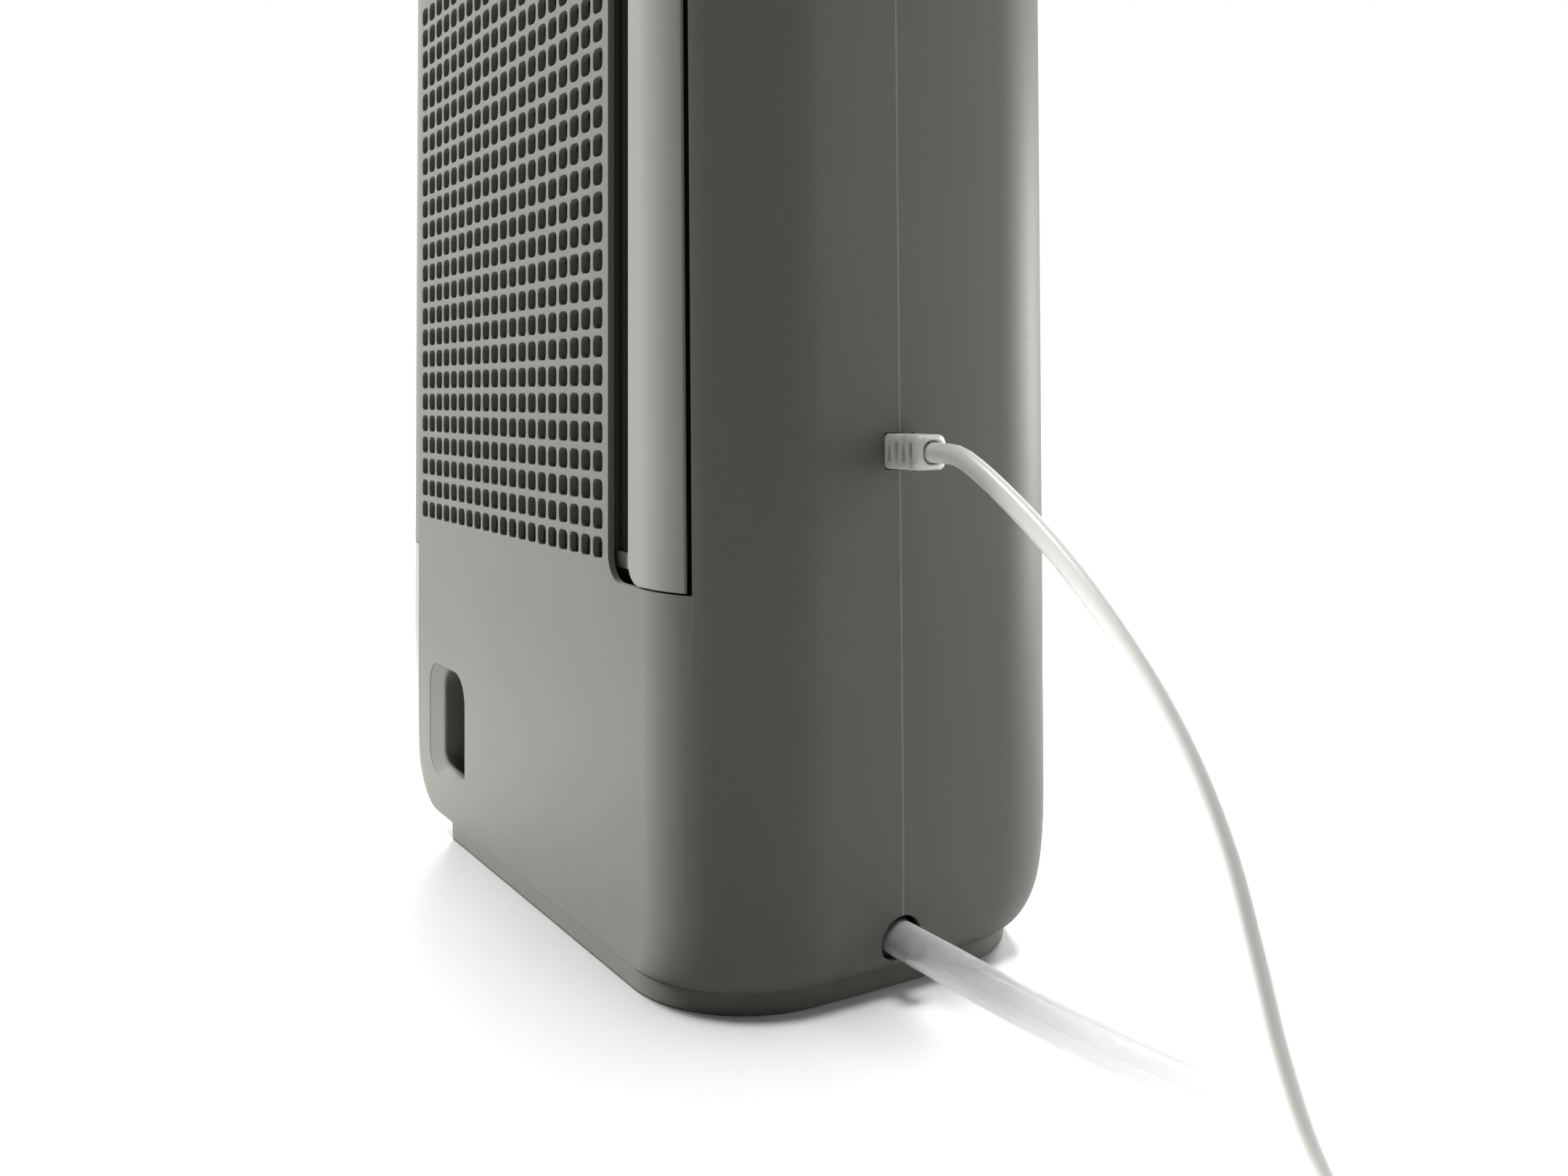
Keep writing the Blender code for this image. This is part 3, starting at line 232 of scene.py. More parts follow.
def noise(tree, scale, detail=2.0, stretch=(1.0, 1.0, 1.0)):
    """A noise field in metres, whose scale is in cells a metre."""
    turn = add_node(tree, "Mapping")
    turn.inputs["Scale"].default_value = stretch
    field = add_node(tree, "TexNoise")
    set_inputs(field, {"Scale": scale, "Detail": detail})
    by_object(tree, turn)
    tree.links.new(turn.outputs["Vector"], field.inputs["Vector"])
    return field


def spread(tree, value, low=0.0, high=1.0):
    """The value's middle half, spread over a range."""
    node = add_node(tree, "MapRange")
    set_inputs(node, {"From Min": 0.25, "From Max": 0.75, "To Min": low, "To Max": high})
    tree.links.new(value, node.inputs["Value"])
    return node.outputs["Result"]


def tint(tree, shader, value, low, high):
    """Blends two colours into the base colour."""
    node = add_node(tree, "Mix")
    node.data_type = "RGBA"
    node.inputs["A"].default_value = (*low, 1.0)
    node.inputs["B"].default_value = (*high, 1.0)
    tree.links.new(value, node.inputs["Factor"])
    tree.links.new(node.outputs["Result"], shader.inputs["Base Color"])


def bump(tree, shader, height, strength, depth):
    node = add_node(tree, "Bump")
    set_inputs(node, {"Strength": strength, "Distance": depth})
    tree.links.new(height, node.inputs["Height"])
    tree.links.new(node.outputs["Normal"], shader.inputs["Normal"])


def shaded(colour, share):
    return tuple(channel * share for channel in colour)


def moulded(name, colour, rough, grain=1500.0, depth=0.00006, mottle=0.03, specular=0.5, strength=0.35):
    """Moulded plastic: a fine spark-eroded grain, with slow changes of colour and gloss."""
    material, tree, shader = new_material(name, rough, specular=specular)
    slow = spread(tree, noise(tree, 14.0, 4.0).outputs["Fac"])
    tint(tree, shader, slow, shaded(colour, 1.0 - mottle), shaded(colour, 1.0 + mottle))
    fine = noise(tree, grain, 3.0)
    tree.links.new(spread(tree, fine.outputs["Fac"], rough - 0.05, rough + 0.05), shader.inputs["Roughness"])
    bump(tree, shader, fine.outputs["Fac"], strength, depth)
    return material


def with_painted_band(name, colour, rough, y, half_width, gain, **more):
    """Moulded plastic with a band of painted light at one depth: a painted highlight along a hairline seam, or
    painted shade on a bar's inner side.
    """
    material = moulded(name, colour, rough, **more)
    tree = material.node_tree
    shader = next(node for node in tree.nodes if node.type == "BSDF_PRINCIPLED")
    parts = add_node(tree, "SeparateXYZ")
    by_object(tree, parts)
    near = add_node(tree, "Math")
    near.operation = "COMPARE"
    near.inputs[1].default_value = y
    near.inputs[2].default_value = half_width
    tree.links.new(parts.outputs["Y"], near.inputs[0])
    # The band's colour is painted light: lighter for a seam highlight, darker for shade.
    line = add_node(tree, "Mix")
    line.data_type = "RGBA"
    tree.links.new(near.outputs["Value"], line.inputs["Factor"])
    tree.links.new(shader.inputs["Base Color"].links[0].from_socket, line.inputs["A"])
    line.inputs["B"].default_value = (*shaded(colour, gain)[:3], 1.0)
    tree.links.new(line.outputs["Result"], shader.inputs["Base Color"])
    return material


def metal(name, colour, rough, stretch=(1.0, 1.0, 1.0), grain=900.0):
    """Rolled or turned metal, with its brushing along the axis that stretch shortens."""
    material, tree, shader = new_material(name, rough, metallic=1.0)
    fine = noise(tree, grain, 3.0, stretch)
    tint(tree, shader, spread(tree, fine.outputs["Fac"]), shaded(colour, 0.86), colour)
    tree.links.new(spread(tree, fine.outputs["Fac"], rough - 0.08, rough + 0.10), shader.inputs["Roughness"])
    bump(tree, shader, fine.outputs["Fac"], 0.2, 0.00003)
    return material


def clear(name, colour, rough, ior=1.46, haze=0.0, absorb=0.0):
    """Clear plastic, with slow ripples from moulding or drawing."""
    material, tree, shader = new_material(name, rough)
    set_inputs(shader, {"Transmission Weight": 1.0 - haze, "IOR": ior})
    ripple = noise(tree, 90.0, 2.0, (0.35, 1.0, 1.0))
    slow = spread(tree, ripple.outputs["Fac"])
    tint(tree, shader, slow, shaded(colour, 0.95), colour)
    bump(tree, shader, ripple.outputs["Fac"], 0.25, 0.0004)
    if absorb:
        depth = add_node(tree, "VolumeAbsorption")
        set_inputs(depth, {"Color": (0.0, 0.0, 0.0, 1.0), "Density": absorb})
        tree.links.new(depth.outputs["Volume"], tree.nodes["Material Output"].inputs["Volume"])
    return material


def woven_net(name, colour):
    """A fine filter net: threads along X and Z with dark gaps between them."""
    material, tree, shader = new_material(name, 0.7)
    waves = []
    for direction in ("X", "Z"):
        wave = add_node(tree, "TexWave")
        wave.bands_direction = direction
        wave.inputs["Scale"].default_value = 260.0
        by_object(tree, wave)
        waves.append(wave.outputs["Fac"])
    threads = add_node(tree, "Math")
    threads.operation = "MAXIMUM"
    tree.links.new(waves[0], threads.inputs[0])
    tree.links.new(waves[1], threads.inputs[1])
    tint(tree, shader, threads.outputs[0], shaded(colour, 0.12), colour)
    bump(tree, shader, threads.outputs[0], 0.6, 0.0004)
    return material


def honeycomb(name, colour):
    """The face of the drying wheel: narrow open cells in a chalky white body, the cells darkened to a quarter of its
    colour as painted shade.
    """
    material, tree, shader = new_material(name, 0.9, specular=0.2)
    cells = add_node(tree, "TexVoronoi")
    cells.feature = "DISTANCE_TO_EDGE"
    cells.inputs["Scale"].default_value = 480.0
    by_object(tree, cells)
    walls = add_node(tree, "MapRange")
    walls.inputs["From Max"].default_value = 0.25
    tree.links.new(cells.outputs["Distance"], walls.inputs["Value"])
    tint(tree, shader, walls.outputs["Result"], colour, shaded(colour, 0.25))
    return material


def circuit_board(name):
    """Green lacquer over copper tracks."""
    material, tree, shader = new_material(name, 0.3)
    tracks = add_node(tree, "TexBrick")
    set_inputs(tracks, {
        "Scale": 120.0,
        "Mortar Size": 0.03,
        "Color1": (0.012, 0.085, 0.030, 1.0),
        "Color2": (0.010, 0.070, 0.026, 1.0),
        "Mortar": (0.030, 0.160, 0.060, 1.0),
    })
    by_object(tree, tracks)
    tree.links.new(tracks.outputs["Color"], shader.inputs["Base Color"])
    bump(tree, shader, tracks.outputs["Fac"], 0.2, 0.0001)
    return material


GREY = (0.088, 0.0885, 0.080)
CASING = moulded("casing_grey", GREY, 0.50, specular=0.09)
# The shells carry a painted highlight along the seam: a lighter hairline in their colour.
SHELL = with_painted_band("shell_grey", GREY, 0.50, y=SEAM_Y, half_width=0.00035, gain=1.7, specular=0.09)
# The grip bar's grey is a lighter copy of the casing grey, painted light on the bar, with a band of painted shade
# set at its inner side towards the slot.
GRIP_LIT_AND_SHADED_GREY = with_painted_band("grip_grey", (0.132, 0.133, 0.120), 0.50, y=GRIP_UNDER_Y - 0.0300, half_width=0.0295, gain=0.15,
                   specular=0.09)
TANK_GREY = moulded("tank_grey", (0.150, 0.150, 0.138), 0.38, grain=900.0)
DARK = moulded("dark_plastic", (0.036, 0.036, 0.033), 0.45)
BLACK_GLOSS = moulded("black_gloss", (0.006, 0.006, 0.007), 0.10, grain=60.0, depth=0.00002, strength=0.1)
LIGHT = moulded("light_plastic", (0.46, 0.45, 0.43), 0.40, mottle=0.02)
WHITE = moulded("white_plastic", (0.66, 0.66, 0.64), 0.36, mottle=0.02)
VINYL = moulded("cord_vinyl", (0.52, 0.51, 0.49), 0.34, grain=700.0, depth=0.00004, mottle=0.02)
RUBBER = moulded("rubber", (0.012, 0.012, 0.012), 0.75, grain=1100.0, depth=0.0001)
NET = woven_net("filter_net", (0.006, 0.0065, 0.0065))
CLEAR = clear("clear_plastic", (0.88, 0.89, 0.89), 0.06)
HOSE = clear("hose_clear", (0.85, 0.855, 0.855), 0.05, haze=0.25, absorb=135.0)
SMOKED = clear("smoked_lens", (0.18, 0.19, 0.20), 0.05)
STEEL = metal("steel", (0.60, 0.59, 0.58), 0.28, (1.0, 1.0, 0.2))
ZINC = metal("zinc_sheet", (0.46, 0.47, 0.49), 0.38, (0.25, 1.0, 1.0))
ZEOLITE = honeycomb("zeolite", (0.52, 0.46, 0.36))
BOARD = circuit_board("circuit_board")

FINISHES = {
    DARK: ("chassis", "tank_lid", "tank_switch", "filter_housing", "filter_frame", "rotor_housing", "fan_scroll",
           "fan_wheel", "regen_blower"),
    BLACK_GLOSS: ("control_panel",),
    LIGHT: ("condenser", "drip_tray", "regen_wheel"),
    WHITE: ("tank_float", "rotor_pinion", "humidity_sensor"),
    NET: ("filter_mesh",),
    CLEAR: ("level_window", "drain_pipe"),
    SMOKED: ("display_lens",),
    STEEL: ("rotor_axle", "handle_pin_near", "handle_pin_far"),
    ZINC: ("rotor_motor", "fan_motor", "heater_cover"),
    ZEOLITE: ("desiccant_rotor",),
    BOARD: ("control_board", "main_board"),
    RUBBER: ("foot_1", "foot_2", "foot_3", "foot_4"),
}
for finish, names in FINISHES.items():
    for name in names:
        NODES[name].data.materials.clear()
        NODES[name].data.materials.append(finish)


# Mesh tools


def piece(name, mesh, finish=None, body=None, nodes=()):
    """A shown piece that rides on a body and stands for CAD nodes, or a cutter without those."""
    obj = bpy.data.objects.new(name, mesh)
    bpy.context.scene.collection.objects.link(obj)
    if finish:
        mesh.materials.clear()
        mesh.materials.append(finish)
    if body:
        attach(obj, body)
        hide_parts(*nodes)
    return obj


def mesh_of(name, bm, face_out=False):
    if face_out:
        bmesh.ops.recalc_face_normals(bm, faces=bm.faces)
    mesh = bpy.data.meshes.new(name)
    bm.to_mesh(mesh)
    bm.free()
    return mesh


def only_real_edges(mesh, angle=35.0):
    mesh.shade_smooth()
    mesh.set_sharp_from_angle(angle=math.radians(angle))
    return mesh


def result_of(obj, angle=35.0):
    """The object's mesh with its modifiers applied; the object goes."""
    bpy.context.view_layer.update()
    graph = bpy.context.evaluated_depsgraph_get()
    mesh = bpy.data.meshes.new_from_object(obj.evaluated_get(graph))
    tools = [m.object for m in obj.modifiers if m.type == "BOOLEAN"]
    for old in [obj, *tools]:
        data = old.data
        bpy.data.objects.remove(old)
        bpy.data.meshes.remove(data)
    return only_real_edges(mesh, angle)


def solidify(obj, thickness):
    modifier = obj.modifiers.new("wall", "SOLIDIFY")
    modifier.thickness = thickness
    modifier.offset = -1.0
    return obj


def boolean(obj, operation, *tools):
    for tool in tools:
        modifier = obj.modifiers.new(tool.name, "BOOLEAN")
        modifier.operation = operation
        modifier.object = tool
    return obj


def cut(obj, *tools):
    return boolean(obj, "DIFFERENCE", *tools)


def bevel(obj, width, segments=2, angle=40.0):
    modifier = obj.modifiers.new("rounded edges", "BEVEL")
    modifier.width = width
    modifier.segments = segments
    modifier.limit_method = "ANGLE"
    modifier.angle_limit = math.radians(angle)
    return obj


def skin(bm, low, high, closed=True):
    """Faces from one row of points to the next."""
    count = len(low)
    for i in range(count if closed else count - 1):
        j = (i + 1) % count
        bm.faces.new((low[i], low[j], high[j], high[i]))


def loft_mesh(name, rings, closed=True, capped=True):
    """A skin through rings of equal length, each anticlockwise and ordered upwards, so that it faces out."""
    bm = bmesh.new()
    rows = [[bm.verts.new(point) for point in ring_points] for ring_points in rings]
    for low, high in zip(rows, rows[1:]):
        skin(bm, low, high, closed)
    if capped:
        bm.faces.new(reversed(rows[0]))
        bm.faces.new(rows[-1])
    return mesh_of(name, bm)


def box(name, x, y, z):
    rings = [[(x[0], y[0], h), (x[1], y[0], h), (x[1], y[1], h), (x[0], y[1], h)] for h in z]
    return piece(name, loft_mesh(name, rings))


def prism(name, outline, y):
    """An outline in X and Z, anticlockwise as seen from the front, extruded along Y."""
    rings = [[(px, h, pz) for px, pz in outline] for h in (y[1], y[0])]
    return piece(name, loft_mesh(name, rings))


def frame_at(direction):
    """Two directions square to this one."""
    along = Vector(direction).normalized()
    side = along.cross(Vector((0, 0, 1)))
    if side.length < 1e-4:
        side = Vector((1, 0, 0))
    side.normalize()
    return side, side.cross(along)


def turned(name, start, direction, profile, sides=48):
    """A lathe form: profile holds (distance along the axis, radius) and ends may be closed with radius 0."""
    start, along = Vector(start), Vector(direction).normalized()
    side, up = frame_at(direction)
    bm = bmesh.new()
    rows = []
    for distance, radius in profile:
        middle = start + along * distance
        if radius == 0.0:
            rows.append([bm.verts.new(middle)] * sides)
            continue
        row = []
        for k in range(sides):
            angle = 2 * math.pi * k / sides
            row.append(bm.verts.new(middle + radius * (math.cos(angle) * side + math.sin(angle) * up)))
        rows.append(row)
    for low, high in zip(rows, rows[1:]):
        for i in range(sides):
            j = (i + 1) % sides
            corners = list(dict.fromkeys((low[i], high[i], high[j], low[j])))
            if len(corners) > 2:
                bm.faces.new(corners)
    return mesh_of(name, bm, face_out=True)


def joined(name, meshes, angle=35.0):
    """Separate meshes as one."""
    bm = bmesh.new()
    for mesh in meshes:
        bm.from_mesh(mesh)
        bpy.data.meshes.remove(mesh)
    return only_real_edges(mesh_of(name, bm), angle)


def even(mesh):
    """The mesh with normals that keep its large faces flat right up to their rounded edges."""
    holder = piece("holder", mesh)
    modifier = holder.modifiers.new("even shading", "WEIGHTED_NORMAL")
    modifier.keep_sharp = True
    modifier.weight = 80
    bpy.context.view_layer.update()
    found = bpy.data.meshes.new_from_object(holder.evaluated_get(bpy.context.evaluated_depsgraph_get()))
    bpy.data.objects.remove(holder)
    bpy.data.meshes.remove(mesh)
    return found


def arc(centre, radius, start, end, steps):
    found = []
    for k in range(steps + 1):
        angle = math.radians(start + (end - start) * k / steps)
        found.append((centre[0] + radius * math.cos(angle), centre[1] + radius * math.sin(angle)))
    return found


def rounded_rectangle(x, y, corner, steps=8):
    found = []
    for cx, cy, start in (
        (x[1] - corner, y[1] - corner, 0.0),
        (x[0] + corner, y[1] - corner, 90.0),
        (x[0] + corner, y[0] + corner, 180.0),
        (x[1] - corner, y[0] + corner, 270.0),
    ):
        found += arc((cx, cy), corner, start, start + 90.0, steps)
    return found


def rounded_corners(corners, steps=12):
    """An outline through corners given as X, Z and radius, each of them rounded off."""
    found = []
    for before, (x, z, radius), after in zip((corners[-1], *corners[:-1]), corners, (*corners[1:], corners[0])):
        here = Vector((x, z))
        back = (Vector(before[:2]) - here).normalized()
        onward = (Vector(after[:2]) - here).normalized()
        half = back.angle(onward) / 2
        middle = here + (back + onward).normalized() * (radius / math.sin(half))
        start, end = (here + way * (radius / math.tan(half)) - middle for way in (back, onward))
        turn = start.angle(end)
        for k in range(steps + 1):
            share = k / steps
            spoke = start * math.sin((1.0 - share) * turn) + end * math.sin(share * turn)
            found.append(tuple(middle + spoke / math.sin(turn)))
    return found


def smooth_route(route, step):
    """Points about a step apart on a smooth curve through the route's points."""
    places = [Vector(point) for point in route]
    places = [2 * places[0] - places[1], *places, 2 * places[-1] - places[-2]]
    found = []
    for before, start, end, after in zip(places, places[1:], places[2:], places[3:]):
        pieces = max(1, round((end - start).length / step))
        for k in range(pieces):
            t = k / pieces
            found.append(0.5 * (
                2 * start
                + (end - before) * t
                + (2 * before - 5 * start + 4 * end - after) * t**2
                + (3 * start - before - 3 * end + after) * t**3
            ))
    found.append(places[-2])
    return found


# Cords


def eased(share, start, span):
    """Nothing up to the start, then a smooth rise to 1 over the span."""
    t = min(max((share - start) / span, 0.0), 1.0)
    return t * t * (3.0 - 2.0 * t)


def cord_coil():
    """Six clockwise turns in two layers, from the outside in and back out again."""
    found = []
    steps = 48
    for turn, (radius, height) in enumerate(zip(CORD_TURN_RADII, CORD_TURN_Z)):
        last = turn + 1 == len(CORD_TURN_RADII)
        next_radius = radius if last else CORD_TURN_RADII[turn + 1]
        next_height = height if last else CORD_TURN_Z[turn + 1]
        for k in range(steps):
            share = k / steps
            t = eased(share, 0.72, 0.28)
            angle = math.radians(-90.0 - 360.0 * share)
            r = radius + (next_radius - radius) * t
            z = height + (next_height - height) * t
            found.append((CORD_COIL_CENTRE[0] + r * math.cos(angle), CORD_COIL_CENTRE[1] + r * math.sin(angle), z))
    return found


def cord_path():
    lead = smooth_route(CORD_ROUTE, 0.005)
    coil = cord_coil()
    bridge = smooth_route([lead[-2], lead[-1], coil[0], coil[1]], 0.006)[1:-2]
    x, y, z = PLUG_START
    tail = smooth_route([coil[-1], (CORD_COIL_CENTRE[0], y, 0.0109), (-0.4140, y, 0.0118), (x - 0.003, y, z)], 0.006)
    return [*lead[:-1], *bridge, *map(Vector, coil), *tail[1:]]


def hose_path():
    lead = smooth_route(HOSE_ROUTE, 0.006)
    steps = round(96 * HOSE_TURNS)
    coil = []
    for k in range(steps + 1):
        share = HOSE_TURNS * k / steps
        t = eased(share, 0.70, 0.30)
        angle = math.radians(90.0 + 360.0 * share)
        place = (
            HOSE_COIL_CENTRE[0] + HOSE_TURN_RADIUS * math.cos(angle),
            HOSE_COIL_CENTRE[1] + HOSE_TURN_RADIUS * math.sin(angle),
            HOSE_REST_Z + HOSE_RISE * t,
        )
        coil.append(Vector(place))
    bridge = smooth_route([lead[-2], lead[-1], coil[0], coil[1]], 0.008)[1:-2]
    return [*lead[:-1], *bridge, *coil]


def curve_piece(name, points, radius, finish, body, nodes, sides=8):
    curve = bpy.data.curves.new(name, "CURVE")
    curve.dimensions = "3D"
    curve.bevel_depth = radius
    curve.bevel_resolution = sides
    curve.use_fill_caps = True
    spline = curve.splines.new("POLY")
    spline.points.add(len(points) - 1)
    for point, place in zip(spline.points, points):
        point.co = (*place, 1.0)
    spline.use_smooth = True
    curve.materials.append(finish)
    obj = bpy.data.objects.new(name, curve)
    bpy.context.scene.collection.objects.link(obj)
    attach(obj, body)
    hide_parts(*nodes)
    return obj


def hollow_tube(name, path, radius, bore, sides=28):
    """An open-ended tube with a wall, along the path."""
    bm = bmesh.new()
    outer, inner = [], []
    side = None
    for k, place in enumerate(path):
        along = (path[min(k + 1, len(path) - 1)] - path[max(k - 1, 0)]).normalized()
        side = frame_at(along)[0] if side is None else (side - along * side.dot(along)).normalized()
        up = side.cross(along)
        for rows, r in ((outer, radius), (inner, bore)):
            angles = [2 * math.pi * i / sides for i in range(sides)]
            rows.append([bm.verts.new(place + r * (math.cos(a) * side + math.sin(a) * up)) for a in angles])
    for low, high in zip(outer, outer[1:]):
        skin(bm, low, high)
    for low, high in zip(inner, inner[1:]):
        skin(bm, high, low)
    skin(bm, inner[0], outer[0])
    skin(bm, outer[-1], inner[-1])
    return only_real_edges(mesh_of(name, bm, face_out=True))


def strap(name, centre, radii, z, finish_nodes):
    """A soft band round one side of a coil."""
    half, band = 0.006, 0.0010
    inner_edge = math.sqrt(radii[0] ** 2 - half**2) - GAP
    x = (centre[0] - radii[1] - GAP - band, centre[0] - inner_edge + GAP + band)
    outer = rounded_rectangle(x, (z[0] - GAP - band, z[1] + GAP + band), 0.0035, 6)
    inner = rounded_rectangle((x[0] + band, x[1] - band), (z[0] - GAP, z[1] + GAP), 0.0025, 6)
    bm = bmesh.new()
    rows = []
    for y, shrink in ((-half, 0.0003), (-half + 0.0004, 0.0), (half - 0.0004, 0.0), (half, 0.0003)):
        rows.append([bm.verts.new((px, centre[1] + y, pz)) for px, pz in outer])
    for y in (half, -half):
        rows.append([bm.verts.new((px, centre[1] + y, pz)) for px, pz in inner])
    for low, high in zip(rows, [*rows[1:], rows[0]]):
        skin(bm, low, high)
    return piece(name, only_real_edges(mesh_of(name, bm, face_out=True)), RUBBER, "casing", finish_nodes)


def mains_plug():
    """A moulded round plug with a ribbed neck, a gripped waist and two pins."""
    x, y, z = PLUG_START
    body = [(0.0, 0.0), (0.0, 0.0042), (0.0004, 0.0048)]
    for k in range(5):
        start = 0.0022 + 0.0024 * k
        size = 0.0050 + 0.0006 * k
        body += [(start, size), (start + 0.0003, size + 0.0004), (start + 0.0011, size + 0.0005),
                 (start + 0.0014, size)]
    body += [(0.0150, 0.0088), (0.0168, 0.0108), (0.0190, 0.0117), (0.0225, 0.0120), (0.0270, 0.0114),
             (0.0310, 0.0112), (0.0345, 0.0118), (0.0370, 0.0124), (0.0430, 0.0124), (0.0438, 0.0120),
             (0.0440, 0.0110), (0.0440, 0.0)]
    pin = [(0.0, 0.0), (0.0, 0.0019), (0.0140, 0.0019), (0.0152, 0.0016), (0.0159, 0.0009), (0.0160, 0.0)]
    shell = piece("plug_body", only_real_edges(turned("plug_body", (x, y, z), (-1, 0, 0), body)), VINYL,
                  "casing", ["power_plug"])
    pins = []
    for side in (-0.0070, 0.0070):
        place = (x - PLUG_LENGTH + 0.0002, y + side, z)
        pins.append(turned("pin", place, (-1, 0, 0), pin, 24))
    metal_pins = piece("plug_pins", joined("plug_pins", pins), STEEL, "casing", ["power_plug"])
    return shell, metal_pins


def cords():
    lead = curve_piece("mains_lead", cord_path(), CORD_RADIUS, VINYL, "casing",
                       ["power_cord", "power_cord_coil"])
    tie = strap("lead_strap", CORD_COIL_CENTRE, (0.0285, 0.0495), (0.0013, 0.0144), ["cord_tie"])
    plug = mains_plug()
    path = hose_path()
    hose = piece("hose_tube", hollow_tube("hose_tube", path, HOSE_RADIUS, HOSE_BORE), HOSE, "casing",
                 ["drain_hose", "drain_hose_coil"])
    hose.visible_shadow = False  # light passes through the clear wall
    hose_strap = strap("hose_strap", HOSE_COIL_CENTRE, (0.0650, 0.0780), (0.0015, 0.0275), ["hose_tie"])


cords()


# Form of the casing


def run_in(z, curve):
    """How far a curved lower edge has run in at a height."""
    start, depth = curve
    drop = min(max((start - z) / (start - UNDERSIDE_Z), 0.0), 1.0)
    return depth * (1.0 - math.sqrt(1.0 - drop**2))


def near_x(z):
    return -WIDTH / 2 + SIDE_LEAN * max(0.0, z - WIDEST_Z) + run_in(z, NEAR_CURVE)


def far_x(z):
    return WIDTH / 2 - SIDE_LEAN * max(0.0, z - WIDEST_Z) - run_in(z, FAR_CURVE)


def front_y(z):
    tuck = FRONT_LEAN * (SHELL_TOP_Z - min(max(z, WIDEST_Z), SHELL_TOP_Z))
    return FRONT_Y + tuck + run_in(z, FRONT_CURVE)


def bowed(side, y, inset):
    inwards = -1.0 if side > 0 else 1.0
    return side + inwards * (inset + SIDE_BOW * (2 * y / DEPTH) ** 2)


def quarter(side, end, sign, inset):
    """The corner between a side and the front or rear, from the side to the end face."""
    radius = CORNER - inset
    turn_y = end - sign * radius
    edge = bowed(side, turn_y, inset)
    middle = side - math.copysign(CORNER, side)
    angles = [math.pi / 2 * k / CORNER_STEPS for k in range(CORNER_STEPS + 1)]
    return [(middle + (edge - middle) * math.cos(a), turn_y + sign * radius * math.sin(a)) for a in angles]


def side_line(side, start, end, inset, steps=6):
    """The bowed side between its seam and its corner, without the last point."""
    found = []
    for k in range(steps):
        y = start + (end - start) * k / steps
        found.append((bowed(side, y, inset), y))
    return found


def half_plan(z, rear, seam=SEAM_Y, inset=0.0):
    """The plan of the rear half from +X round to -X, or of the front half from -X round to +X."""
    end = DEPTH / 2 - inset if rear else front_y(z) + inset
    sign = 1.0 if rear else -1.0
    turn_y = end - sign * (CORNER - inset)
    arms = []
    for side in (far_x(z), near_x(z)):
        arms.append([*side_line(side, seam, turn_y, inset), *quarter(side, end, sign, inset)])
    first, second = arms if rear else arms[::-1]
    return [(x, y, z) for x, y in first + second[::-1]]


def full_plan(z, inset=0.0, height=None):
    points = half_plan(z, True, inset=inset)[:-1] + half_plan(z, False, inset=inset)[:-1]
    return [(x, y, z if height is None else height) for x, y, _ in points]


def levels(top, first=UNDERSIDE_Z):
    """Heights that crowd towards the curved lower edge."""
    found = [first + (WIDEST_Z - first) * (k / 18) ** 2 for k in range(19)]
    return [*found, top]


# Casing pieces


def end_corners(x, z, radius):
    """An outline's two rounded corners at its +X end."""
    low, high = (x - radius, z[0] + radius), (x - radius, z[1] - radius)
    return [*arc(low, radius, -90.0, 0.0, 10), *arc(high, radius, 0.0, 90.0, 10)]


def window_outline():
    return [
        *end_corners(SLOT_X[1], SLOT_Z, SLOT_CORNER),
        (near_x(SLOT_Z[1]) + WINDOW_EDGE, SLOT_Z[1]),
        (near_x(SLOT_Z[0]) + WINDOW_EDGE, SLOT_Z[0]),
    ]


def tank_end_cutter():
    return box("tank_end_cut", (TANK_END_X - GAP, 0.25), (-0.12, 0.12), (0.0, TANK_TOP_Z + 2 * GAP))


def gland_cutter():
    y = (SEAM_Y - GLAND_HALF_Y - GAP, SEAM_Y + GLAND_HALF_Y + GAP)
    z = (GLAND_Z - GLAND_HALF_Z - GAP, GLAND_Z + GLAND_HALF_Z + GAP)
    return box("gland_cut", (-0.19, -0.155), y, z)


def rod_profile(length, radius):
    return [(0.0, 0.0), (0.0, radius), (length, radius), (length, 0.0)]


def drain_cutter():
    profile = rod_profile(0.04, DRAIN_HOLE_RADIUS)
    return piece("drain_cut", turned("drain_cut", (-0.19, SEAM_Y, DRAIN_Z), (1, 0, 0), profile))


def end_cutters():
    """What both half shells leave room for: the tank's end, the gland and the drain."""
    return tank_end_cutter(), gland_cutter(), drain_cutter()


GRILLE_X = (FIRST_HOLE[0] - 0.0046, FIRST_HOLE[0] + (COLUMNS - 1) * PITCH + 0.0045)
GRILLE_Z = (FIRST_HOLE[1] - 0.0046, FIRST_HOLE[1] + (ROWS - 1) * PITCH + 0.0046)


def hole_ring(middle, grow):
    half = HOLE / 2 + grow
    x, z = middle
    return rounded_rectangle((x - half, x + half), (z - half, z + half), HOLE_CORNER + grow, 3)


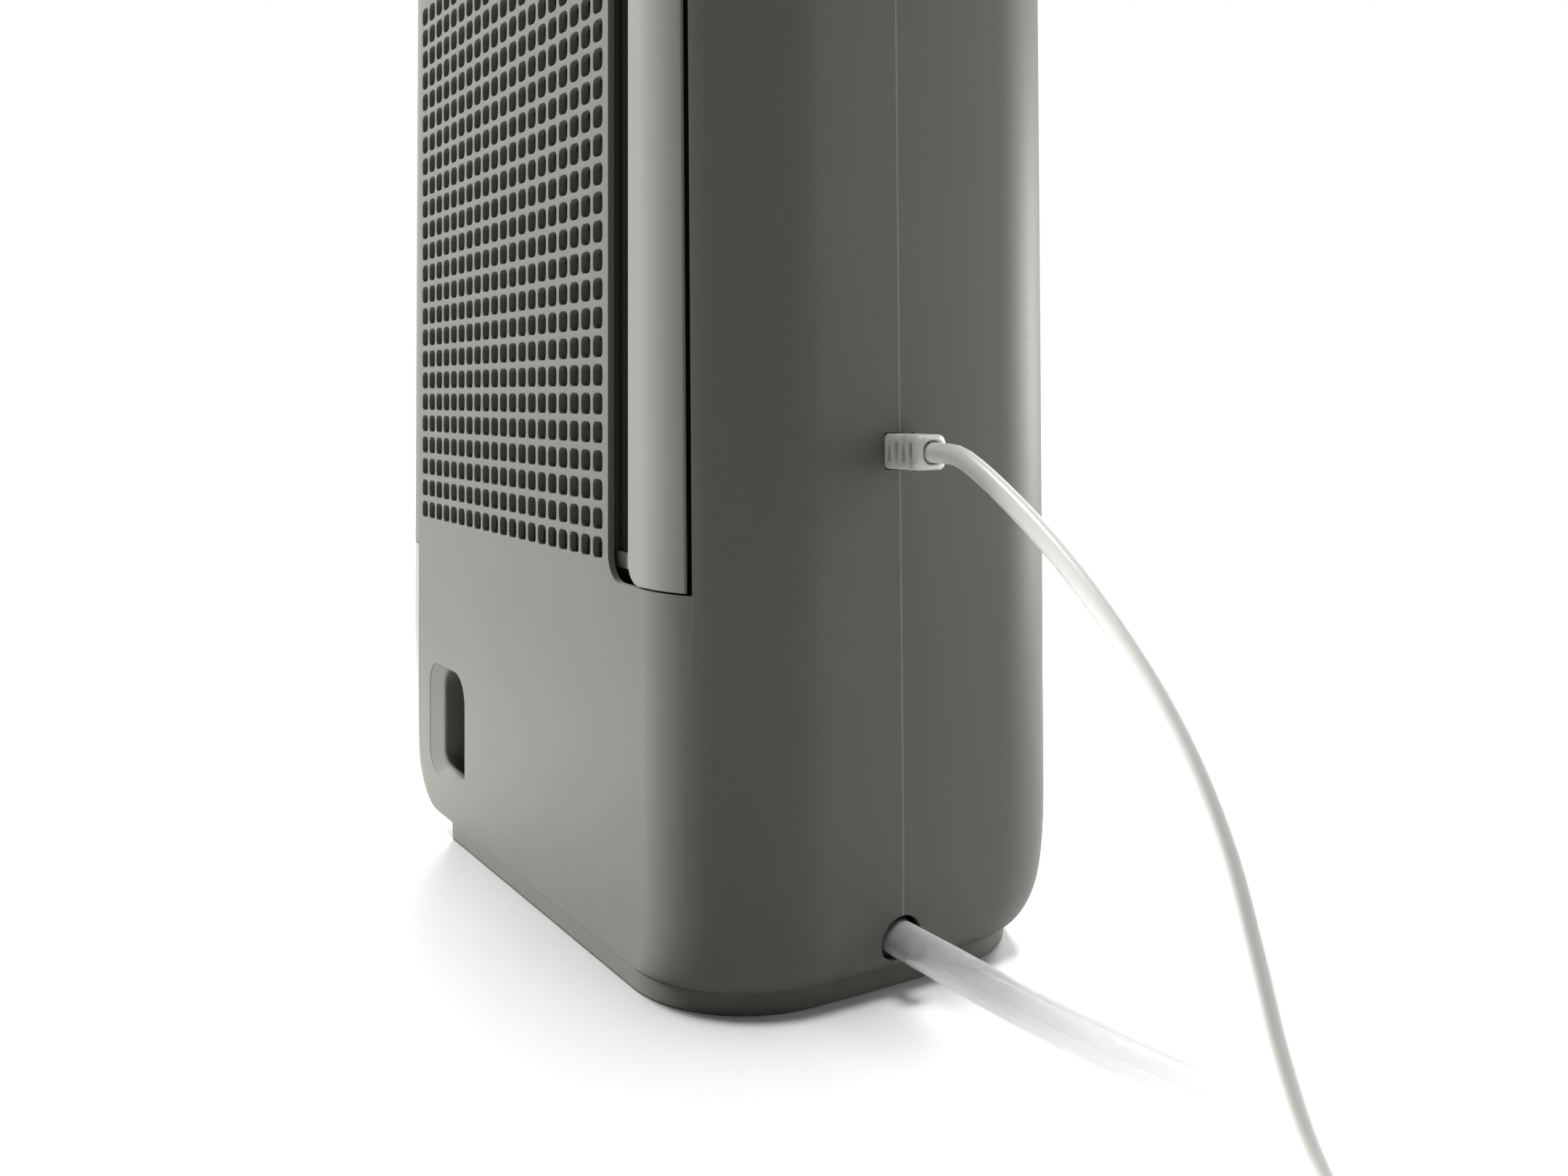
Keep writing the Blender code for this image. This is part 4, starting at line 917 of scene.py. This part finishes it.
def grille():
    """The flat field of rounded square holes, each with a soft edge and a slight draft."""
    outer = DEPTH / 2
    steps = ((0.00045, outer), (0.00018, outer - 0.00010), (0.0, outer - 0.00042), (-0.00012, outer - WALL))
    x_lines = [GRILLE_X[0], *(FIRST_HOLE[0] + (k + 0.5) * PITCH for k in range(COLUMNS - 1)), GRILLE_X[1]]
    z_lines = [GRILLE_Z[0], *(FIRST_HOLE[1] + (k + 0.5) * PITCH for k in range(ROWS - 1)), GRILLE_Z[1]]
    bm = bmesh.new()
    corners = [[bm.verts.new((x, outer, z)) for x in x_lines] for z in z_lines]
    for row in range(ROWS):
        for column in range(COLUMNS):
            middle = (FIRST_HOLE[0] + column * PITCH, FIRST_HOLE[1] + row * PITCH)
            rings = [[bm.verts.new((x, y, z)) for x, z in hole_ring(middle, grow)] for grow, y in steps]
            around = (corners[row + 1][column + 1], corners[row + 1][column], corners[row][column],
                      corners[row][column + 1])
            front = rings[0]
            for g in range(4):
                h = (g + 1) % 4
                arm = [front[4 * h + 1], front[4 * h], front[4 * g + 3], front[4 * g + 2], front[4 * g + 1]]
                bm.faces.new((around[g], around[h], *arm))
            for high, low in zip(rings, rings[1:]):
                skin(bm, high, low)
    return mesh_of("grille", bm, face_out=True)


def half_shell(name, rear):
    seam = SEAM_Y + (0.00001 if rear else -0.00001)
    rings = [half_plan(z, rear, seam) for z in levels(SHELL_TOP_Z)]
    return solidify(piece(name, loft_mesh(name, rings, closed=False, capped=False)), WALL)


def rear_casing():
    shell = half_shell("rear_raw", True)
    window = prism("window_cut", window_outline(), (0.070, 0.100))
    recess = prism("recess_cut", rounded_corners(RECESS_MOUTH), (0.080, 0.100))
    cut(shell, window, recess, *end_cutters())
    bevel(shell, 0.0005)
    shell = piece("rear_cut", result_of(shell))
    cut(shell, box("grille_cut", GRILLE_X, (0.080, 0.100), GRILLE_Z))
    mesh = joined("rear_casing", [result_of(shell), grille()])
    piece("rear_casing", even(mesh), SHELL, "casing", ["rear_shell"])


def front_casing():
    shell = half_shell("front_raw", False)
    # This slot stops 1 mm short of the wall's inner face, so the level window is not open to the tank
    level = prism("level_cut", rounded_rectangle((0.052, 0.064), (0.040, 0.118), 0.005, 10), (-0.1, -0.08))
    cut(shell, level, *end_cutters())
    bevel(shell, 0.0005)
    piece("front_casing", even(result_of(shell)), SHELL, "casing", ["front_shell"])


def between(corners, others, share):
    """Corners part of the way from one set to another."""
    return [
        tuple(start + (end - start) * share for start, end in zip(corner, other))
        for corner, other in zip(corners, others)
    ]


def finger_recess():
    """The recess low on the rear face: a sloping mouth, widest at +X, then a well with a lower floor behind it."""
    slope = ((0.0899, 0.000), (0.0898, 0.030), (0.0895, 0.150), (0.0885, 0.650), (0.0881, 0.850), (0.0878, 0.950),
             (0.0873, 0.990), (0.0866, 1.000))
    steps = [(y, between(RECESS_MOUTH, RECESS_LIP, share)) for y, share in slope]
    steps += [(y, between(RECESS_LIP, RECESS_FLOOR, share)) for y, share in ((0.0800, 0.4), (0.0722, 0.95))]
    steps += [(0.0708, between(RECESS_FLOOR, RECESS_LIP, 0.10)), (0.0702, between(RECESS_FLOOR, RECESS_LIP, 0.25))]
    bm = bmesh.new()
    rows = [[bm.verts.new((px, y, pz)) for px, pz in rounded_corners(corners)] for y, corners in steps]
    for outer, inner in zip(rows, rows[1:]):
        for i in range(len(outer)):
            j = (i + 1) % len(outer)
            bm.faces.new((outer[i], inner[i], inner[j], outer[j]))
    bm.faces.new(rows[-1])
    mesh = only_real_edges(mesh_of("finger_recess", bm), 50.0)
    piece("finger_recess", mesh, CASING, "casing", ["grip_cup"])


def grip_section(z):
    """The bar's section at a height, whose outer face follows the casing's corner."""
    tip = near_x(z) + GRIP_EDGE
    turn = near_x(z) + CORNER
    reach = turn - bowed(near_x(z), DEPTH / 2 - CORNER, 0.0)
    found = [(SLOT_X[0], DEPTH / 2), (turn, DEPTH / 2)]
    steps = 12
    for k in range(1, steps + 1):
        x = turn + (tip - turn) * k / steps
        fall = CORNER * (1.0 - math.sqrt(1.0 - ((turn - x) / reach) ** 2))
        found.append((x, DEPTH / 2 - fall))
    return [*found, (tip, GRIP_UNDER_Y), (SLOT_X[0], GRIP_UNDER_Y)]


def grip_bar():
    heights = (GRIP_Z[0], *(0.16 + 0.03 * k for k in range(8)), GRIP_Z[1])
    rings = [[(x, y, z) for x, y in grip_section(z)] for z in heights]
    bar = piece("grip_raw", loft_mesh("grip_raw", rings))
    outline = [
        *end_corners(SLOT_X[0], GRIP_Z, GRIP_CORNER),
        (-0.17, GRIP_Z[1] + 0.001),
        (-0.17, GRIP_Z[0] - 0.001),
    ]
    outline[0] = (outline[0][0], GRIP_Z[0])
    boolean(bar, "INTERSECT", prism("grip_outline", outline, (0.06, 0.10)))
    bevel(bar, 0.0007, 3)
    meshes = [result_of(bar)]
    reach = (SLOT_X[0] - 0.004, FRAME_X[0] - GAP)
    for low in (FRAME_Z[0] + 0.0005, FRAME_Z[1] - 0.0065):
        arm = box("arm", reach, (GRIP_UNDER_Y, GRIP_UNDER_Y + 0.0016), (low, low + 0.006))
        meshes.append(result_of(bevel(arm, 0.0003)))
    piece("grip_bar", even(joined("grip_bar", meshes)), GRIP_LIT_AND_SHADED_GREY, "filter", ["filter_grip_bar"])


def tank_body():
    outer = piece("tank_raw", loft_mesh("tank_raw", [full_plan(z) for z in levels(TANK_TOP_Z)]))
    boolean(outer, "INTERSECT", box("tank_limit", (TANK_END_X + GAP, 0.25), (-0.12, 0.12), (-0.01, 0.2)))
    boolean(outer, "UNION", box("tank_inner", TANK_IN_X, TANK_IN_Y, (0.0085, TANK_TOP_Z)))
    heights = [z for z in levels(TANK_TOP_Z + 0.01) if z > 0.0110]
    hollow = piece("hollow_raw", loft_mesh("hollow_raw", [full_plan(z, TANK_WALL) for z in [0.0110, *heights]]))
    boolean(hollow, "INTERSECT", box("hollow_limit", (TANK_END_X + TANK_WALL, 0.25), (-0.12, 0.12), (0.0, 0.2)))
    hollow = piece("tank_hollow", result_of(hollow))
    inner_x = (TANK_IN_X[0] + TANK_WALL, TANK_IN_X[1] + 0.002)
    inner_y = (TANK_IN_Y[0] + TANK_WALL, TANK_IN_Y[1] - TANK_WALL)
    middle = box("tank_middle", inner_x, inner_y, (0.0109, 0.2))
    cut(outer, hollow, middle)
    bevel(outer, 0.0006)
    piece("tank_body", even(result_of(outer)), TANK_GREY, "tank", ["water_tank"])


def plinth():
    heights = ((PLINTH_Z[0], 0.0009), (PLINTH_Z[0] + 0.0004, 0.0005), (PLINTH_Z[1], 0.0003))
    rings = [full_plan(UNDERSIDE_Z, inset, height) for height, inset in heights]
    pan = piece("plinth_raw", loft_mesh("plinth_raw", rings))
    boolean(pan, "INTERSECT", box("plinth_limit", (-0.25, PLINTH_FAR_X), (-0.12, 0.12), (-0.01, 0.02)))
    for x, y in FOOT_PLACES:
        profile = rod_profile(0.013, FOOT_RADIUS + GAP)
        cut(pan, piece("seat", turned("seat", (x, y, -0.01), (0, 0, 1), profile)))
    for x, y in SCREW_PLACES:
        profile = [(0.0, 0.0), (0.0, 0.0042), (0.0148, 0.0042), (0.0148, 0.0021), (0.03, 0.0021), (0.03, 0.0)]
        cut(pan, piece("screw_seat", turned("screw_seat", (x, y, -0.01), (0, 0, 1), profile, 32)))
    bevel(pan, 0.0003)
    piece("plinth", even(result_of(pan)), CASING, "casing", ["base_pan"])


def cable_boot():
    """The strain relief: a rounded block with staggered slots, and a recess in its flat end for the cord."""
    def section(x, half_y, half_z, corner):
        y = (SEAM_Y - half_y, SEAM_Y + half_y)
        z = (GLAND_Z - half_z, GLAND_Z + half_z)
        return [(x, py, pz) for py, pz in rounded_rectangle(y, z, corner, 6)]

    full = (GLAND_HALF_Y, GLAND_HALF_Z)
    steps = [
        (-0.1600, full[0], full[1], 0.0016), (-0.1868, full[0], full[1], 0.0020),
        (-0.1886, full[0] - 0.0001, full[1] - 0.0001, 0.0028), (-0.1896, full[0] - 0.0006, full[1] - 0.0006, 0.0034),
        (-0.1902, full[0] - 0.0013, full[1] - 0.0013, 0.0034), (-0.1902, 0.0044, 0.0044, 0.0034),
        (-0.1896, 0.0041, 0.0041, 0.0036), (-0.1880, 0.0039, 0.0039, 0.0037),
    ]
    bm = bmesh.new()
    rows = [[bm.verts.new(point) for point in section(*step)] for step in steps]
    for low, high in zip(rows, rows[1:]):
        skin(bm, low, high)
    bm.faces.new(rows[0])
    bm.faces.new(rows[-1])
    boot = piece("boot_raw", mesh_of("boot_raw", bm, face_out=True))
    for k in range(4):
        start = GLAND_SLOT_X - GLAND_SLOT_PITCH * k
        x = (start - GLAND_SLOT_WIDTH, start)
        sign = 1 if k % 2 == 0 else -1
        for side in (-1, 1):
            y = sorted((SEAM_Y + side * 0.0014, SEAM_Y + side * 0.0080))
            z = sorted((GLAND_Z - sign * 0.0034, GLAND_Z + sign * 0.0056))
            cut(boot, box("slot", x, y, z))
        z = sorted((GLAND_Z + sign * 0.0016, GLAND_Z + sign * 0.0080))
        cut(boot, box("slot_over", x, (SEAM_Y - 0.0052, SEAM_Y + 0.0052), z))
    y = (SEAM_Y - GLAND_HALF_Y - 0.003, SEAM_Y + GLAND_HALF_Y + 0.003)
    z = (GLAND_Z - GLAND_HALF_Z - 0.003, GLAND_Z + GLAND_HALF_Z + 0.003)
    boolean(boot, "UNION", box("boot_flange", (-0.1684, -0.1650), y, z))
    bevel(boot, 0.00018, 2)
    piece("cable_boot", even(result_of(boot)), LIGHT, "casing", ["cable_gland"])


def drain_fitting():
    """The stub that the hose pushes on to, with a flange behind the hole and two barbs."""
    profile = [(-0.0170, 0.0), (-0.0170, 0.0034), (-0.0164, 0.0039), (-0.0120, 0.0045), (-0.0118, 0.0038),
               (-0.0060, 0.0045), (-0.0058, 0.0038), (0.0006, 0.0044), (0.0006, 0.0060), (0.0010, 0.0072),
               (0.0010, 0.0088), (0.0046, 0.0088), (0.0046, 0.0055), (0.0150, 0.0055), (0.0150, 0.0)]
    mesh = only_real_edges(turned("drain_fitting", (-0.1655, SEAM_Y, DRAIN_Z), (1, 0, 0), profile))
    piece("drain_fitting", mesh, DARK, "casing", ["drain_spigot"])


def top_casing():
    steps = [(TOP_Z[0], 0.0), (0.4700, 0.0), (0.4760, 0.0003), (0.4790, 0.0009), (0.4815, 0.0020), (0.4835, 0.0034),
             (0.4850, 0.0050), (0.4862, 0.0068), (0.4871, 0.0090), (0.4877, 0.0117), (HEIGHT, 0.0150)]
    cover = piece("top_raw", loft_mesh("top_raw", [full_plan(TOP_Z[0], inset, z) for z, inset in steps]))
    inner = [(0.4600, WALL), (0.4760, 0.0029), (0.4805, 0.0050), (0.4830, 0.0080), (0.4850, 0.0130)]
    core = piece("core_raw", loft_mesh("core_raw", [full_plan(TOP_Z[0], inset, z) for z, inset in inner]))
    wall = 0.002
    wells = (
        ("outlet", OUTLET_X, OUTLET_Y, 0.40),
        ("panel_well", PANEL_X, PANEL_Y, PANEL_FLOOR_Z),
        ("handle_well", HANDLE_WELL_X, HANDLE_WELL_Y, HANDLE_WELL_Z),
    )
    for name, x, y, floor in wells:
        around = ((x[0] - wall, x[1] + wall), (y[0] - wall, y[1] + wall))
        cut(core, box(name + "_walls", *around, (floor - wall, 0.6)))
    core = piece("cover_core", result_of(core))
    cut(cover, core)
    for name, x, y, floor in wells:
        cut(cover, box(name, x, y, (floor, 0.6)))
    bevel(cover, 0.0006, 3)
    piece("top_casing", even(result_of(cover)), CASING, "casing", ["top_cover"])


def louvre_flap():
    """The outlet flap, ribbed along its length, with its pivot along the rear edge."""
    x = (OUTLET_X[0] + 0.0008, OUTLET_X[1] - 0.0008)
    y = (OUTLET_Y[0] + 0.0008, OUTLET_Y[1] - 0.0012)
    flap = box("flap_raw", x, y, (0.4852, 0.4876))
    for k in range(5):
        low = y[0] + 0.0075 + 0.0068 * k
        groove = box("groove", (x[0] + 0.006, x[1] - 0.006), (low, low + 0.0012), (0.4870, 0.49))
        cut(flap, groove)
    bevel(flap, 0.00045, 3)
    profile = [(0.0, 0.0), (0.0, 0.0013), (0.0003, 0.0016), (0.1877, 0.0016), (0.1880, 0.0013), (0.1880, 0.0)]
    barrel = turned("barrel", (-0.0940, *LOUVRE_AXIS), (1, 0, 0), profile, 24)
    mesh = even(joined("louvre_flap", [result_of(flap), barrel]))
    piece("louvre_flap", mesh, CASING, "louvre_flap", ["louvre"])


def key_caps():
    """Round keys with a shallow dish, and a small raised ring in the dish."""
    middle = sum(PANEL_Y) / 2
    r = BUTTON_RADIUS
    profile = [(0.0, 0.0), (0.0, r), (0.0036, r), (0.0040, r - 0.0002), (0.0042, r - 0.0006), (0.0041, r - 0.0011),
               (0.0038, r - 0.0026), (0.0037, 0.0022), (0.0039, 0.0021), (0.0039, 0.0017), (0.0037, 0.0016),
               (0.0036, 0.0)]
    for k, name in enumerate(("power", "mode", "humidity", "timer")):
        place = (BUTTON_FIRST_X + k * BUTTON_PITCH, middle, BUTTON_Z[0])
        mesh = only_real_edges(turned(f"key_{name}", place, (0, 0, 1), profile), 50.0)
        piece(f"key_{name}", mesh, LIGHT, f"{name}_key", [f"button_{name}"])


def bail():
    low, high = HANDLE_Y
    bend = 0.012
    near = [(-x, y) for x, y in arc((HANDLE_X - bend, low + bend), bend, 0.0, -90.0, 14)]
    far = arc((HANDLE_X - bend, low + bend), bend, -90.0, 0.0, 14)
    outline = [(-HANDLE_X, high + 0.003), *near, *far, (HANDLE_X, high + 0.003)]
    points = [Vector((x, y, HANDLE_Z)) for x, y in outline]
    curve_piece("bail", points, HANDLE_RADIUS, CASING, "handle", ["carry_handle"])


def foot_screws():
    """Pan-head screws with a cross recess, seen from below."""
    for number, (x, y) in enumerate(SCREW_PLACES, 1):
        head = [(0.0, 0.0), (0.0, 0.0028), (0.0004, 0.0033), (0.0010, 0.0036), (0.0023, 0.0036), (0.0023, 0.0018),
                (0.0118, 0.0018), (0.0118, 0.0)]
        screw = piece("screw_raw", turned("screw_raw", (x, y, 0.0022), (0, 0, 1), head, 32))
        for angle in (0.0, 90.0):
            arm = box("arm", (-0.0022, 0.0022), (-0.0004, 0.0004), (0.0, 0.0032))
            arm.data.transform(Matrix.Translation((x, y, 0.0)) @ Matrix.Rotation(math.radians(angle), 4, "Z"))
            cut(screw, arm)
        piece(f"foot_screw_{number}", result_of(screw), STEEL, "casing", [f"base_screw_{number}"])


rear_casing()
front_casing()
finger_recess()
grip_bar()
tank_body()
plinth()
cable_boot()
drain_fitting()
top_casing()
louvre_flap()
key_caps()
bail()
foot_screws()


# Studio


def add_light(name, kind, place, target, power):
    data = bpy.data.lights.new(name, kind)
    data.energy = power
    lamp = bpy.data.objects.new(name, data)
    bpy.context.scene.collection.objects.link(lamp)
    lamp.location = place
    lamp.visible_camera = False
    aim = Vector(target) - Vector(place)
    lamp.rotation_euler = aim.to_track_quat("-Z", "Y").to_euler()
    return data


def panel(name, place, target, size, power, floor):
    """A rectangular light, linked to the floor alone."""
    data = add_light(name, "AREA", place, target, power)
    data.shape = "RECTANGLE"
    data.size, data.size_y = size
    linked = bpy.data.collections.new("linked_to_" + name)
    linked.objects.link(floor)
    bpy.data.objects[name].light_linking.receiver_collection = linked
    return data, linked


def floor_wash(*settings):
    """A low light for the floor alone, to reach in under the rounded ends of the casing."""
    data, _ = panel(*settings)
    data.spread = math.radians(30.0)


def softbox(*settings):
    """A rectangular light that leaves the floor to the lights from above."""
    _, linked = panel(*settings)
    linked.collection_objects[0].light_linking.link_state = "EXCLUDE"


def studio_world():
    """Soft light that is strongest from behind and to the right, in front of a plain white backdrop."""
    world = bpy.data.worlds.new("studio")
    world.use_nodes = True
    tree = world.node_tree
    white = (1.0, 1.0, 1.0, 1.0)
    direction = add_node(tree, "TexCoord")
    towards = add_node(tree, "VectorMath")
    towards.operation = "DOT_PRODUCT"
    towards.inputs[1].default_value = CAMERA_AIM
    tree.links.new(direction.outputs["Generated"], towards.inputs[0])
    strength = add_node(tree, "MapRange")
    strength.interpolation_type = "SMOOTHSTEP"
    set_inputs(strength, {"From Min": 0.0, "From Max": 0.85, "To Min": 0.15, "To Max": 1.08})
    tree.links.new(towards.outputs["Value"], strength.inputs["Value"])
    fill = tree.nodes["Background"]
    fill.inputs["Color"].default_value = white
    tree.links.new(strength.outputs["Result"], fill.inputs["Strength"])
    backdrop = add_node(tree, "Background")
    backdrop.inputs["Color"].default_value = white
    path = add_node(tree, "LightPath")
    mix = add_node(tree, "MixShader")
    tree.links.new(path.outputs["Is Camera Ray"], mix.inputs["Fac"])
    tree.links.new(fill.outputs["Background"], mix.inputs[1])
    tree.links.new(backdrop.outputs["Background"], mix.inputs[2])
    tree.links.new(mix.outputs["Shader"], tree.nodes["World Output"].inputs["Surface"])
    bpy.context.scene.world = world


def studio():
    corners = ((-30, -30), (30, -30), (30, 30), (-30, 30))
    floor = piece("floor", loft_mesh("floor", [[(x, y, h) for x, y in corners] for h in (-0.01, 0.0)]))
    material, tree, shader = new_material("floor_white", 0.9, specular=0.1)
    slow = spread(tree, noise(tree, 0.7, 2.0).outputs["Fac"])
    tint(tree, shader, slow, (0.89, 0.89, 0.89), (0.91, 0.91, 0.91))
    floor.data.materials.append(material)
    bpy.context.scene.view_settings.view_transform = "Standard"
    studio_world()
    sky = add_light("overhead", "SUN", (0.0, 0.0, 3.0), (0.0, 0.0, 0.0), 3.0)
    sky.angle = math.radians(22.0)
    softbox("key", (1.43, 1.02, 1.10), (0.05, 0.09, 0.20), (0.8, 1.1), 224.0, floor)
    bpy.data.objects["key"].visible_glossy = False
    softbox("rim", (-0.24, -1.93, 0.32), (-0.15, -0.08, 0.22), (0.6, 0.64), 37.0, floor)
    softbox("side", (-0.45, -0.85, 0.45), (-0.15, -0.08, 0.22), (0.4, 0.9), 8.0, floor)
    floor_wash("far_wash", (0.55, -0.20, 0.06), (0.16, 0.04, 0.00), (0.5, 0.1), 3.5, floor)
    floor_wash("near_wash", (0.25, -0.60, 0.06), (-0.17, -0.07, 0.00), (0.4, 0.1), 1.0, floor)


studio()
